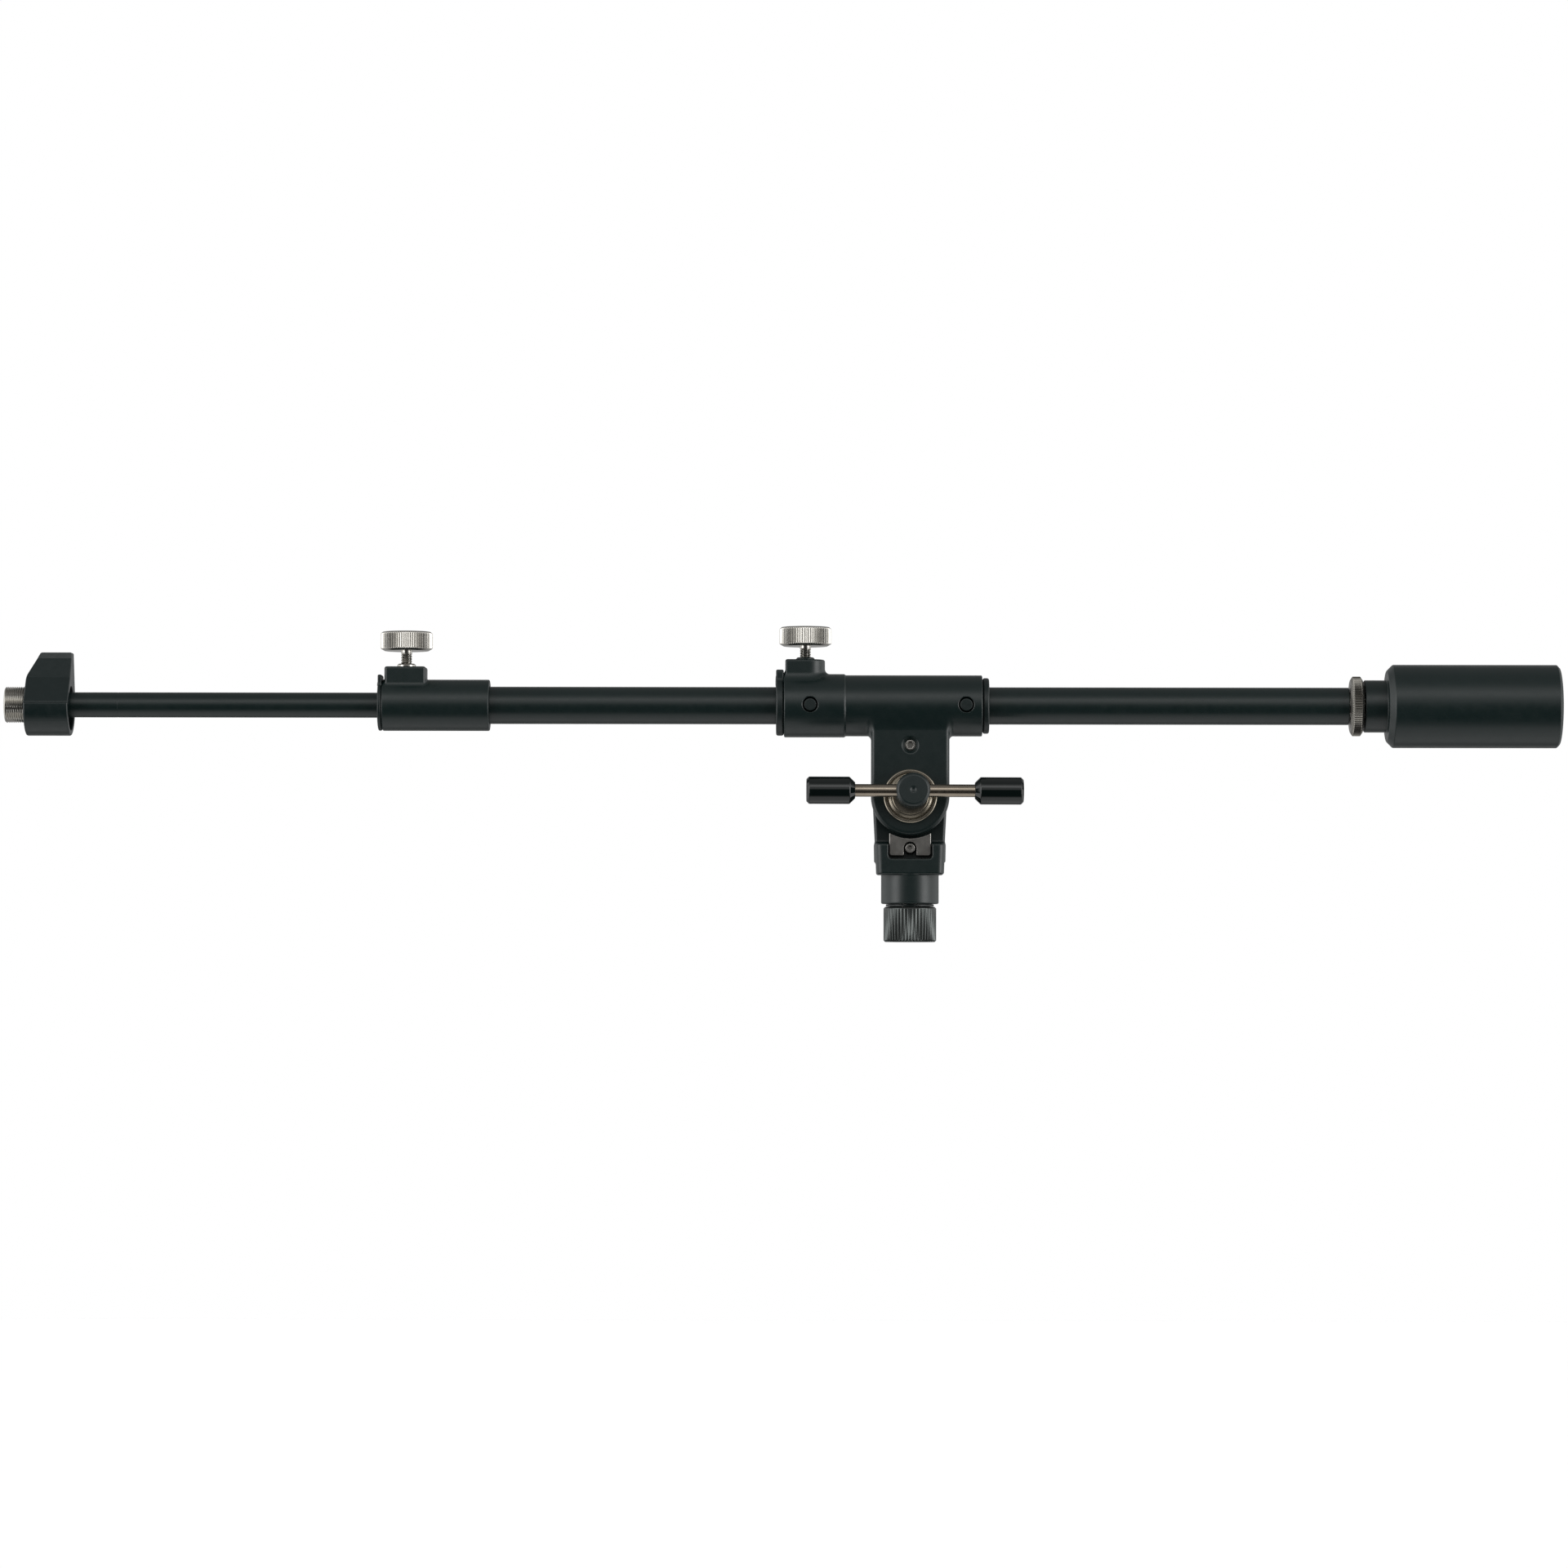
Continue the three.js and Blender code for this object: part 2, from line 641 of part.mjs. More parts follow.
// The upright tab that locks a bush against the boss beside it.
function bushTab(width, from, top, thickness) {
  return plateAlongX(roundedRectangle(-width / 2, from, width, top - from, 1.2), -thickness, 0, 3);
}

function snapPeg(bore, reach) {
  return rod('y', pegOd, -reach, -bore / 2 - bushWall / 3);
}

function leftBush() {
  const tab = bushTab(boomBossWidth, bushBore / 2 + 1, leftTabTop, leftFlangeThickness);
  const pegX = leftPegInset + seatGap;
  return cut(
    join(
      flangedBush(bushBore, bushOd, leftBushLength, leftFlangeOd, leftFlangeThickness),
      tab,
      snapPeg(bushBore, housingCollarOd / 2 - 0.5).translate(pegX, 0, 0),
    ),
    rod('z', padOd + 2 * runGap, 0, bushOd).translate(boomScrewInset + seatGap, 0, 0),
  );
}

// Turned end for end, so that the flange is on the right.
function rightBush() {
  const bush = join(
    flangedBush(bushBore, bushOd, rightBushLength, rightFlangeOd, rightFlangeThickness),
    snapPeg(bushBore, housingOd / 2 - 0.3).translate(rightPegInset + seatGap, 0, 0),
  );
  return bush.rotateY(Math.PI);
}

// Thumb screw, its insert and its pressure pad, drawn about the boom's axis.
function addThumbScrew(parent, names, tubeOd, insertFoot, insertTop, knobFoot) {
  const padFoot = tubeOd / 2 + seatGap;
  const studFoot = padFoot + padHeight + seatGap;
  const boreTop = knobFoot + knobBoreDepth;
  const [knob, bore] = [knobOd / 2, screwOd / 2 + fixedGap];
  const insert = ring('z', insertOd, screwOd + 2 * runGap, insertFoot, insertTop, smallSides);
  piece(parent, names.insert, insert, names.insertFinish);
  piece(parent, names.pad, rod('z', padOd, padFoot, padFoot + padHeight), brass);
  piece(parent, names.stud, rod('z', screwOd, studFoot, boreTop - seatGap), brightNickel);
  piece(parent, names.knob, turned('z', [
    [bore, knobFoot], [knob - knobChamfer, knobFoot], [knob, knobFoot + knobChamfer],
    [knob, knobFoot + knobHeight - knobChamfer], [knob - knobChamfer, knobFoot + knobHeight],
    [0, knobFoot + knobHeight], [0, boreTop], [bore, boreTop],
  ]), brightNickel);
}

// Clamp sleeve, drawn from its left end along +X.
function clampSleeve() {
  const body = ring('x', sleeveOd, sleeveBore, 0, sleeveLength);
  const half = sleeveBossWidth / 2;
  const outline = roundedRectangle(0, -half, sleeveBossLength, sleeveBossWidth, sleeveBossCorner);
  const settings = { depth: sleeveBossTop, bevelEnabled: false, curveSegments: 3 };
  const boss = new THREE.ExtrudeGeometry(outline, settings);
  const setScrewHole = rod('y', sleeveSetScrewOd + 2 * fixedGap, 0, sleeveOd);
  return cut(
    join(body, boss.translate(sleeveBossInset, 0, 0)),
    rod('x', sleeveBore, -1, sleeveLength + 1, roundSides),
    rod('z', insertOd + 2 * fixedGap, 0, sleeveBossTop + 1).translate(sleeveScrewInset, 0, 0),
    setScrewHole.translate(sleeveLength - sleeveSetScrewInset, 0, 0),
  );
}

function sleeveBush() {
  const length = sleeveLength - sleeveOverlap - 2 * seatGap;
  const tab = bushTab(sleeveTabWidth, sleeveBushBore / 2 + 1, sleeveTabTop, sleeveFlangeThickness);
  return cut(
    join(flangedBush(sleeveBushBore, sleeveBushOd, length, sleeveFlangeOd, sleeveFlangeThickness), tab),
    rod('z', padOd + 2 * runGap, 0, sleeveBushOd).translate(sleeveScrewInset + seatGap, 0, 0),
  );
}

function sleeveSetScrew() {
  const from = mainTubeOd / 2 + seatGap;
  const to = sleeveOd / 2 - 0.2;
  return cut(rod('y', sleeveSetScrewOd, from, to), hexagon(2, to - 1.5, to + 1));
}

// Plug with the counterweight's stud, drawn from the tube's right end.
function weightPlug() {
  const [plug, stud] = [mainTubeBore / 2 - fixedGap, weightStudOd / 2];
  const tip = lockRingLength + 2 * lockRingGap + weightStudReach;
  return turned('x', [
    [0, -weightPlugReach], [plug, -weightPlugReach], [plug, 0], [stud, 0],
    [stud, tip - 1], [stud - 1, tip], [0, tip],
  ], 24);
}

function weightLockRing() {
  const [outer, inner] = [lockRingOd / 2, weightStudOd / 2 + runGap];
  return turned('x', [
    [inner, 0], [outer - lockRingChamfer, 0], [outer, lockRingChamfer],
    [outer, lockRingLength - lockRingChamfer], [outer - lockRingChamfer, lockRingLength],
    [inner, lockRingLength],
  ]);
}

// Counterweight, drawn from its neck's left end.
function counterweight() {
  const [bore, neck, body] = [weightStudOd / 2 + runGap, weightNeckOd / 2, weightOd / 2];
  const boreEnd = weightStudReach + lockRingGap + 1;
  const end = weightNeckLength + weightLength;
  return turned('x', [
    [0, boreEnd], [bore, boreEnd], [bore, 0], [neck, 0], [neck, weightNeckLength],
    [body - weightLeftChamfer, weightNeckLength], [body, weightNeckLength + weightLeftChamfer],
    [body, end - weightRightChamfer], [body - weightRightChamfer, end], [0, end],
  ], 32);
}

// Inner tube from its left end, with the bead that keeps the guide ring in place.
function innerTube() {
  const [outer, inner, bead] = [innerTubeOd / 2, innerTubeBore / 2, innerBeadOd / 2];
  const beadEnd = innerTubeLength - guideRingLength - 2 * seatGap;
  return turned('x', [
    [inner, 0], [outer, 0], [outer, beadEnd - innerBeadLength - innerBeadRise],
    [bead, beadEnd - innerBeadLength],
    [bead, beadEnd], [outer, beadEnd], [outer, innerTubeLength], [inner, innerTubeLength],
  ]);
}

function guideRing() {
  const end = innerTubeLength - seatGap;
  return ring('x', guideRingOd, guideRingBore, end - guideRingLength, end);
}

function innerEndPlug() {
  const [head, plug] = [innerBeadOd / 2, innerTubeBore / 2 - fixedGap];
  const face = innerTubeLength + seatGap;
  return turned('x', [
    [0, innerTubeLength - innerPlugReach], [plug, innerTubeLength - innerPlugReach], [plug, face],
    [head, face], [head, face + innerPlugLength], [0, face + innerPlugLength],
  ], 24);
}

// Microphone thread, drawn from the inner tube's left end: thread at -X, spigot inside the tube.
function micThreadStud() {
  const [thread, spigot] = [micThreadOd / 2, innerTubeBore / 2 - fixedGap];
  const tip = -micThreadLength;
  return turned('x', [
    [0, tip], [thread - micThreadChamfer, tip], [thread, tip + micThreadChamfer], [thread, -seatGap],
    [spigot, -seatGap], [spigot, micSpigotLength], [0, micSpigotLength],
  ]);
}

// Wing nut's section: a round body whose front quarter sweeps up into one wing.
function wingOutline() {
  const body = wingBodyOd / 2;
  const wall = micThreadOd / 2 + 1.3;
  const shape = new THREE.Shape();
  shape.absarc(0, 0, body, Math.PI, Math.PI * 2);
  shape.lineTo(body, 2);
  shape.lineTo(wingFront + wingThickness, wingTop);
  shape.lineTo(wingFront, wingTop);
  shape.quadraticCurveTo(wingFront - 1, wall * 1.5, -wall * 0.35, wall * 1.25);
  shape.quadraticCurveTo(-wall * 0.95, wall * 0.9, -body, 0.8);
  return shape;
}

// Wing nut, drawn from its left face along +X: open at the right, with a pocket for the threaded ring.
function micLockWing() {
  const slant = new THREE.Shape();
  slant.moveTo(-1, wingSlantRise - wingSlantRise / wingSlantRun);
  slant.lineTo(wingSlantRun, wingTop);
  slant.lineTo(wingSlantRun, wingTop + 5);
  slant.lineTo(-1, wingTop + 5);
  const hollow = wingBodyOd - 2 * wingShell;
  const pocketEnd = wingFaceWall + wingInsertLength + seatGap;
  const body = wingOutline();
  return cut(
    plateAlongX(body, 0, wingLength, 10),
    plateAlongY(slant, -wingBodyOd, wingBodyOd),
    rod('x', micThreadOd + 2 * runGap, -1, wingLength + 1, roundSides),
    rod('x', wingInsertOd + 2 * fixedGap, wingFaceWall, pocketEnd, roundSides),
    plateAlongX(wingHollowOutline(hollow / 2), pocketEnd + 1, wingLength + 1, 8),
  );
}

// The hollow behind the threaded ring keeps clear of the scooped front.
function wingHollowOutline(radius) {
  const inner = micThreadOd / 2 + runGap;
  const shape = new THREE.Shape();
  shape.absarc(0, 0, radius, Math.PI * 1.03, Math.PI * 2);
  shape.absarc(0, 0, inner, 0, Math.PI * 0.97);
  return shape;
}

const boomArm = new THREE.Group();

function addStandSide() {
  const hinge = group(boomArm, 0, 0, hingeHeight);
  piece(boomArm, 'stand_collar', standCollar(), darkMetal);
  piece(boomArm, 'swivel_bolt', swivelBolt(), greySteel);
  piece(boomArm, 'swivel_washer', swivelWasher(), blackPlastic);
  piece(boomArm, 'base_casting', baseCasting(), blackPaint);
  piece(hinge, 'stop_plate', stopPlate(), greySteel);
  piece(hinge, 'stop_plate_screw', stopPlateScrew(), greySteel, 0, 0, -hingeAboveBlock - stopPinBelow);
  piece(hinge, 'pivot_sleeve', pivotSleeve(), greySteel);
  piece(hinge, 'friction_disc', frictionDisc(), fibre);
  piece(hinge, 'pivot_nut', pivotNut(), greySteel);
}

// The T bolt turns about the middle of its nut, so it leans about that point.
function addHandle() {
  const hinge = group(boomArm, 0, 0, hingeHeight);
  piece(hinge, 'thrust_washer', thrustWasher(), warmNickel);
  const pivot = group(hinge, 0, nutMiddle, 0);
  pivot.rotation.set(-THREE.MathUtils.degToRad(headLeanUp), 0, THREE.MathUtils.degToRad(headLeanRight));
  const bolt = group(pivot, 0, -nutMiddle, 0);
  const bar = group(bolt, barShift, headFront + barDepthInHead, 0);
  const gripStart = barSpan / 2 - gripLength;
  piece(bolt, 't_bolt', tBolt(), blackPlastic);
  piece(bar, 't_bar', tBar(), warmNickel);
  piece(bar, 't_bar_grip_right', tBarGrip(), gripBlack, gripStart);
  piece(bar, 't_bar_grip_left', tBarGrip().rotateZ(Math.PI), gripBlack, -gripStart);
}

function addTiltingClamp() {
  const hinge = group(boomArm, 0, 0, hingeHeight);
  const boomLine = group(hinge, 0, 0, boomRise);
  piece(hinge, 'tilt_housing', tiltHousing(), blackPaint);
  piece(hinge, 'arm_set_screw', armSetScrew(), greySteel, 0, 0, setScrewRise);
  piece(boomLine, 'left_bush', leftBush(), blackPlastic, -housingLeft - seatGap);
  piece(boomLine, 'right_bush', rightBush(), blackPlastic, housingRight + seatGap);
  const screw = group(boomLine, -housingLeft + boomScrewInset, 0, 0);
  const names = {
    insert: 'boom_screw_insert', pad: 'boom_screw_pad', stud: 'boom_screw_stud', knob: 'boom_knob',
    insertFinish: blackPlastic,
  };
  addThumbScrew(screw, names, mainTubeOd, housingBore / 2 + seatGap, boomInsertTop, boomKnobFoot);
}

function addMainTube() {
  const tube = group(boomArm, -mainTubeOut, 0, hingeHeight + boomRise);
  const sleeveStart = sleeveOverlap - sleeveLength;
  const weightStart = mainTubeLength + lockRingLength + 2 * lockRingGap;
  piece(tube, 'main_tube', ring('x', mainTubeOd, mainTubeBore, 0, mainTubeLength), blackPaint);
  piece(tube, 'weight_plug', weightPlug(), greySteel, mainTubeLength);
  piece(tube, 'weight_lock_ring', weightLockRing(), blackNickel, mainTubeLength + lockRingGap);
  piece(tube, 'counterweight', counterweight(), blackPaint, weightStart);
  const sleeve = group(tube, sleeveStart, 0, 0);
  piece(sleeve, 'clamp_sleeve', clampSleeve(), blackPaint);
  piece(sleeve, 'sleeve_bush', sleeveBush(), blackPlastic, -seatGap);
  piece(sleeve, 'sleeve_set_screw', sleeveSetScrew(), greySteel, sleeveLength - sleeveSetScrewInset);
  const screw = group(sleeve, sleeveScrewInset, 0, 0);
  const names = {
    insert: 'sleeve_screw_insert', pad: 'sleeve_screw_pad', stud: 'sleeve_screw_stud', knob: 'sleeve_knob',
    insertFinish: brightNickel,
  };
  addThumbScrew(screw, names, innerTubeOd, sleeveBore / 2 + seatGap, sleeveInsertTop, sleeveKnobFoot);
}

function addInnerTube() {
  const sleeveFace = sleeveOverlap - sleeveLength - seatGap - sleeveFlangeThickness;
  const inner = group(boomArm, -mainTubeOut + sleeveFace - innerTubeOut, 0, hingeHeight + boomRise);
  piece(inner, 'inner_tube', innerTube(), blackPaint);
  piece(inner, 'guide_ring', guideRing(), blackPlastic);
  piece(inner, 'inner_end_plug', innerEndPlug(), blackPlastic);
  piece(inner, 'mic_thread_stud', micThreadStud(), brightNickel);
  const wing = group(inner, -micThreadLength + wingInset, 0, 0);
  const insertEnd = wingFaceWall + seatGap / 2 + wingInsertLength;
  const insert = ring('x', wingInsertOd, micThreadOd + 2 * runGap, insertEnd - wingInsertLength, insertEnd);
  piece(wing, 'mic_lock_wing', micLockWing(), blackPlastic);
  piece(wing, 'wing_nut_insert', insert, brass);
}

addStandSide();
addHandle();
addTiltingClamp();
addMainTube();
addInnerTube();

export default boomArm;
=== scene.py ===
import json
import math

import bmesh
import bpy
import numpy as np
from mathutils import Matrix, Vector


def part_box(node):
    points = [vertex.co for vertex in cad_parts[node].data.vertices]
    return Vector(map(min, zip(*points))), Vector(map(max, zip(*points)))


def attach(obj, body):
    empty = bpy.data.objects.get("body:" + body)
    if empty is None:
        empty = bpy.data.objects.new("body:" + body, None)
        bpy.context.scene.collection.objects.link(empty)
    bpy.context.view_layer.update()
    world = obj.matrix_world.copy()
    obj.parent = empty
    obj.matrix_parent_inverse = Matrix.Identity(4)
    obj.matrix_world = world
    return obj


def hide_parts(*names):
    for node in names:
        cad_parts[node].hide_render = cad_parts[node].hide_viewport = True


# Boom arm for a microphone stand. Lengths below are millimetres; meshes are scaled to metres.
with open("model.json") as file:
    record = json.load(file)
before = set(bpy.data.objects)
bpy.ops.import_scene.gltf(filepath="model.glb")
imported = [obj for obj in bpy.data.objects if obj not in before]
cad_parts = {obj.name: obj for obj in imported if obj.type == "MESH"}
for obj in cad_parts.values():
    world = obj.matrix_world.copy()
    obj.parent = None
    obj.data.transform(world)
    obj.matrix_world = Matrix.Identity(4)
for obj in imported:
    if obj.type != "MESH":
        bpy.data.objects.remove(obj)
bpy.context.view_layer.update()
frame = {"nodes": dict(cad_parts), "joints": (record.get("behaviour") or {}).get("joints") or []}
print("frame loaded:", len(frame["nodes"]), "nodes")


def span(node):
    low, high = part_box(node)
    return np.array(low) * 1000, np.array(high) * 1000


def middle(node):
    low, high = span(node)
    return (low + high) / 2


def jointNamed(name):
    return next(joint for joint in frame["joints"] if joint["name"] == name)


sharpEdge = math.radians(34)
bevelSlope = 0.7071  # for a bevel at 45 degrees
boomZ = middle("main_tube")[2]
hingeZ = middle("thrust_washer")[2]

# The T bolt leans in its holes: this turns its own frame, centred on its nut, into the frame's.
boltJoint = jointNamed("t_bolt_turn")
barLine = Vector(jointNamed("t_bar_slide")["axis"]).normalized()
boltLine = -Vector(boltJoint["axis"]).normalized()
boltTurn = Matrix((barLine, boltLine, barLine.cross(boltLine))).transposed()
boltCentre = np.array(boltJoint["pos_m"]) * 1000


def meshPiece(name, points, faces, normals=None, lean=False):
    points = np.asarray(points, float)
    if lean:
        turn = np.array(boltTurn)
        points = points @ turn.T + boltCentre
        normals = None if normals is None else normals @ turn.T
    mesh = bpy.data.meshes.new(name)
    mesh.from_pydata((points / 1000).tolist(), [], faces)
    mesh.update()
    for polygon in mesh.polygons:
        polygon.use_smooth = True
    if normals is None:
        mesh.set_sharp_from_angle(angle=sharpEdge)
    else:
        mesh.normals_split_custom_set_from_vertices(normals.tolist())
    piece = bpy.data.objects.new(name, mesh)
    bpy.context.scene.collection.objects.link(piece)
    return piece


def fit(piece, body, slot, material, *nodes):
    piece.data.materials.append(material)
    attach(piece, body)
    if nodes:
        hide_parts(*nodes)
    return piece


# A profile's corners are (radius, along, rounding). Rounded corners get an arc with a support
# point on each side, which keeps the flats flat under smooth shading.
def softLine(profile, isRing, steps):
    corners = [(np.array(corner[:2], float), corner[2] if len(corner) > 2 else 0) for corner in profile]
    line = []
    for i, (here, size) in enumerate(corners):
        isEnd = not isRing and i in (0, len(corners) - 1)
        if isEnd or not size:
            line.append(here)
            continue
        before = corners[i - 1][0] - here
        after = corners[(i + 1) % len(corners)][0] - here
        room = 0.48 * min(np.hypot(*before), np.hypot(*after))
        before, after = before / np.hypot(*before), after / np.hypot(*after)
        opening = math.acos(np.clip(before @ after, -1, 1))
        if opening > 3.1:
            line.append(here)
            continue
        reach = min(size / math.tan(opening / 2), room)
        radius = reach * math.tan(opening / 2)
        inward = (before + after) / np.hypot(*(before + after))
        centre = here + inward * radius / math.sin(opening / 2)
        start, end = here + before * reach - centre, here + after * reach - centre
        sweep = math.pi - opening
        hold = min(0.15, room - reach)
        if hold > 0.01:
            line.append(here + before * (reach + hold))
        for k in range(steps + 1):
            first = math.sin((1 - k / steps) * sweep) / math.sin(sweep)
            second = math.sin(k / steps * sweep) / math.sin(sweep)
            line.append(centre + start * first + end * second)
        if hold > 0.01:
            line.append(here + after * (reach + hold))
    return line


# Adds points where the line crosses the marks, between two radii.
def splitLine(line, marks, band):
    out = [line[0]]
    for here, there in zip(line[:-1], line[1:]):
        rise = there[1] - here[1]
        inBand = band[0] < min(here[0], there[0]) and max(here[0], there[0]) < band[1]
        if inBand and abs(rise) > 1e-6:
            shares = sorted((mark - here[1]) / rise for mark in marks)
            out += [here + (there - here) * share for share in shares if 1e-3 < share < 1 - 1e-3]
        out.append(there)
    return out


def insideBand(line, cut):
    low, high = cut["band"]
    return ((line[:, 0] > low) & (line[:, 0] < high)).astype(float)


# Turns a profile about an axis. A knurl or a thread moves the surface in from the profile.
def turned(name, profile, axis, centre, segments=96, isRing=False, knurl=None, thread=None, steps=5,
           lean=False):
    line = softLine(profile, isRing, steps)
    if isRing:
        line.append(line[0])
    if knurl:
        start, end, fade = knurl["start"], knurl["end"], knurl["fade"]
        line = splitLine(line, [start, start + fade, end - fade, end], knurl["band"])
        segments = knurl["teeth"] * 8
    if thread:
        start, end = thread["start"], thread["end"]
        line = splitLine(line, np.arange(start, end, thread["pitch"] / 8), thread["band"])
    if isRing:
        line = line[:-1]
    line = np.array(line)
    angles = np.arange(segments) * 2 * np.pi / segments
    radius = np.repeat(line[:, :1], segments, axis=1)
    along = np.repeat(line[:, 1:], segments, axis=1)
    if knurl:
        weight = np.clip(np.minimum(line[:, 1] - start, end - line[:, 1]) / fade, 0, 1)
        tooth = np.abs(np.cos(angles * knurl["teeth"] / 2)) ** knurl["sharpness"]
        radius = radius - knurl["depth"] * (weight * insideBand(line, knurl))[:, None] * tooth[None, :]
    if thread:
        start, end, pitch = thread["start"], thread["end"], thread["pitch"]
        weight = np.clip(np.minimum(line[:, 1] - start, end - line[:, 1]) / pitch * 1.5, 0, 1)
        phase = along / pitch - angles[None, :] / (2 * np.pi)
        groove = np.abs(2 * (phase % 1) - 1)
        radius = radius - thread["depth"] * (weight * insideBand(line, thread))[:, None] * groove
    flat = np.stack([radius * np.cos(angles), radius * np.sin(angles)], -1)
    axes = {"x": (1, 2, 0), "y": (2, 0, 1), "z": (0, 1, 2)}[axis]
    points = np.zeros(radius.shape + (3,))
    points[..., axes[0]], points[..., axes[1]], points[..., axes[2]] = flat[..., 0], flat[..., 1], along
    points = points.reshape(-1, 3) + np.array(centre, float)
    rows = len(line)
    index = np.arange(rows * segments).reshape(rows, segments)
    faces = []
    for row in range(rows if isRing else rows - 1):
        here, there = index[row], index[(row + 1) % rows]
        nextHere, nextThere = np.roll(here, -1), np.roll(there, -1)
        if line[row][0] < 1e-6:
            faces += np.stack([np.full(segments, here[0]), there, nextThere], -1).tolist()
        elif line[(row + 1) % rows][0] < 1e-6:
            faces += np.stack([here, np.full(segments, there[0]), nextHere], -1).tolist()
        else:
            faces += np.stack([here, there, nextThere, nextHere], -1).tolist()
    piece = meshPiece(name, points, faces, lean=lean)
    onAxis = line[:, 0] < 1e-6
    loose = [vertex for vertex in range(len(points)) if vertex % segments and onAxis[vertex // segments]]
    tidyMesh(piece.data, loose)
    return piece


def tidyMesh(mesh, loose=()):
    work = bmesh.new()
    work.from_mesh(mesh)
    work.verts.ensure_lookup_table()
    bmesh.ops.delete(work, geom=[work.verts[i] for i in loose], context="VERTS")
    bmesh.ops.recalc_face_normals(work, faces=work.faces)
    work.to_mesh(mesh)
    work.free()
    mesh.set_sharp_from_angle(angle=sharpEdge)


def meet(a, b, r=0):
    if r <= 0:
        return np.maximum(a, b)
    return np.minimum(-r, np.maximum(a, b)) + np.hypot(np.maximum(r + a, 0), np.maximum(r + b, 0))


def blend(a, b, r=0):
    if r <= 0:
        return np.minimum(a, b)
    return np.maximum(r, np.minimum(a, b)) - np.hypot(np.maximum(r - a, 0), np.maximum(r - b, 0))


def carve(a, b, r=0):
    return meet(a, -b, r)


def between(v, low, high):
    return np.maximum(low - v, v - high)


def rodField(a, b, radius, along, low, high, r=0):
    return meet(np.hypot(a, b) - radius, between(along, low, high), r)


def rectangleField(u, v, halfU, halfV, r):
    across, up = np.abs(u) - halfU + r, np.abs(v) - halfV + r
    outside = np.hypot(np.maximum(across, 0), np.maximum(up, 0))
    return outside + np.minimum(np.maximum(across, up), 0) - r


def hexField(u, v, acrossFlats):
    u, v = np.abs(u), np.abs(v)
    return np.maximum(v, u * math.sqrt(3) / 2 + v / 2) - acrossFlats / 2


def outlineField(outline, u, v):
    u, v = np.broadcast_arrays(u, v)
    nearest = np.full(u.shape, 1e9)
    inside = np.zeros(u.shape, bool)
    for a, b in zip(outline, np.roll(outline, -1, axis=0)):
        edge = b - a
        share = np.clip(((u - a[0]) * edge[0] + (v - a[1]) * edge[1]) / (edge @ edge), 0, 1)
        nearest = np.minimum(nearest, (u - a[0] - share * edge[0]) ** 2 + (v - a[1] - share * edge[1]) ** 2)
        if edge[1]:
            inside ^= ((a[1] > v) != (b[1] > v)) & (u < edge[0] * (v - a[1]) / edge[1] + a[0])
    return np.where(inside, -1, 1) * np.sqrt(nearest)


def arcPoints(centre, radius, start, end, count):
    angles = np.radians(np.linspace(start, end, count))
    return np.stack([centre[0] + radius * np.cos(angles), centre[1] + radius * np.sin(angles)], -1)


# Skins a field: one vertex in each cell that the surface crosses, pulled onto the surface, with
# the field's own slope as its normal.
def skinned(name, field, low, high, cell, lean=False):
    axes = [np.arange(low[i] - 2 * cell, high[i] + 3 * cell, cell) for i in range(3)]
    grid = np.meshgrid(*axes, indexing="ij", sparse=True)
    shape = tuple(len(line) for line in axes)
    values = np.broadcast_to(field(*grid), shape)
    inside = values < 0
    corners = [(i, j, k) for i in (0, 1) for j in (0, 1) for k in (0, 1)]
    view = {c: tuple(slice(c[d], shape[d] - 1 + c[d]) for d in range(3)) for c in corners}
    total = sum(inside[view[c]].astype(np.int8) for c in corners)
    active = (total > 0) & (total < 8)
    cells = np.argwhere(active)
    index = np.full(active.shape, -1, np.int64)
    index[active] = np.arange(len(cells))
    level = {c: values[tuple((cells + c).T)] for c in corners}
    place = np.zeros((len(cells), 3))
    crossings = np.zeros(len(cells))
    for first in corners:
        for d in range(3):
            if first[d]:
                continue
            second = tuple(1 if e == d else first[e] for e in range(3))
            a, b = level[first], level[second]
            cross = (a < 0) != (b < 0)
            share = np.where(cross, a / np.where(cross, a - b, 1), 0)
            spot = np.repeat([first], len(cells), axis=0).astype(float)
            spot[:, d] += share
            place += spot * cross[:, None]
            crossings += cross
    origin = np.array([line[0] for line in axes])
    points = origin + (cells + place / crossings[:, None]) * cell
    for _ in range(4):
        slope = slopeOf(field, points)
        size = np.maximum((slope ** 2).sum(1), 1e-6)
        step = field(*points.T) / size
        move = step[:, None] * slope
        length = np.sqrt((move ** 2).sum(1))
        move *= np.minimum(1, 0.4 * cell / np.maximum(length, 1e-9))[:, None]
        points = points - move
    normals = slopeOf(field, points)
    normals /= np.maximum(np.sqrt((normals ** 2).sum(1)), 1e-9)[:, None]
    faces = []
    for d, (e, f) in enumerate(((1, 2), (2, 0), (0, 1))):
        ahead = tuple(slice(1, None) if a == d else slice(None) for a in range(3))
        behind = tuple(slice(None, -1) if a == d else slice(None) for a in range(3))
        edges = np.argwhere(inside[ahead] != inside[behind])
        limit = np.array(active.shape)
        edges = edges[(edges[:, [e, f]] > 0).all(1) & (edges[:, [e, f]] < limit[[e, f]]).all(1)]
        stepE, stepF = np.eye(3, dtype=int)[e], np.eye(3, dtype=int)[f]
        ring = [edges - stepE - stepF, edges - stepF, edges, edges - stepE]
        quad = np.stack([index[tuple(corner.T)] for corner in ring], -1)
        outward = inside[tuple(edges.T)]
        quad = np.where(outward[:, None], quad, quad[:, ::-1])
        faces += quad[(quad >= 0).all(1)].tolist()
    return meshPiece(name, points, faces, normals=normals, lean=lean)


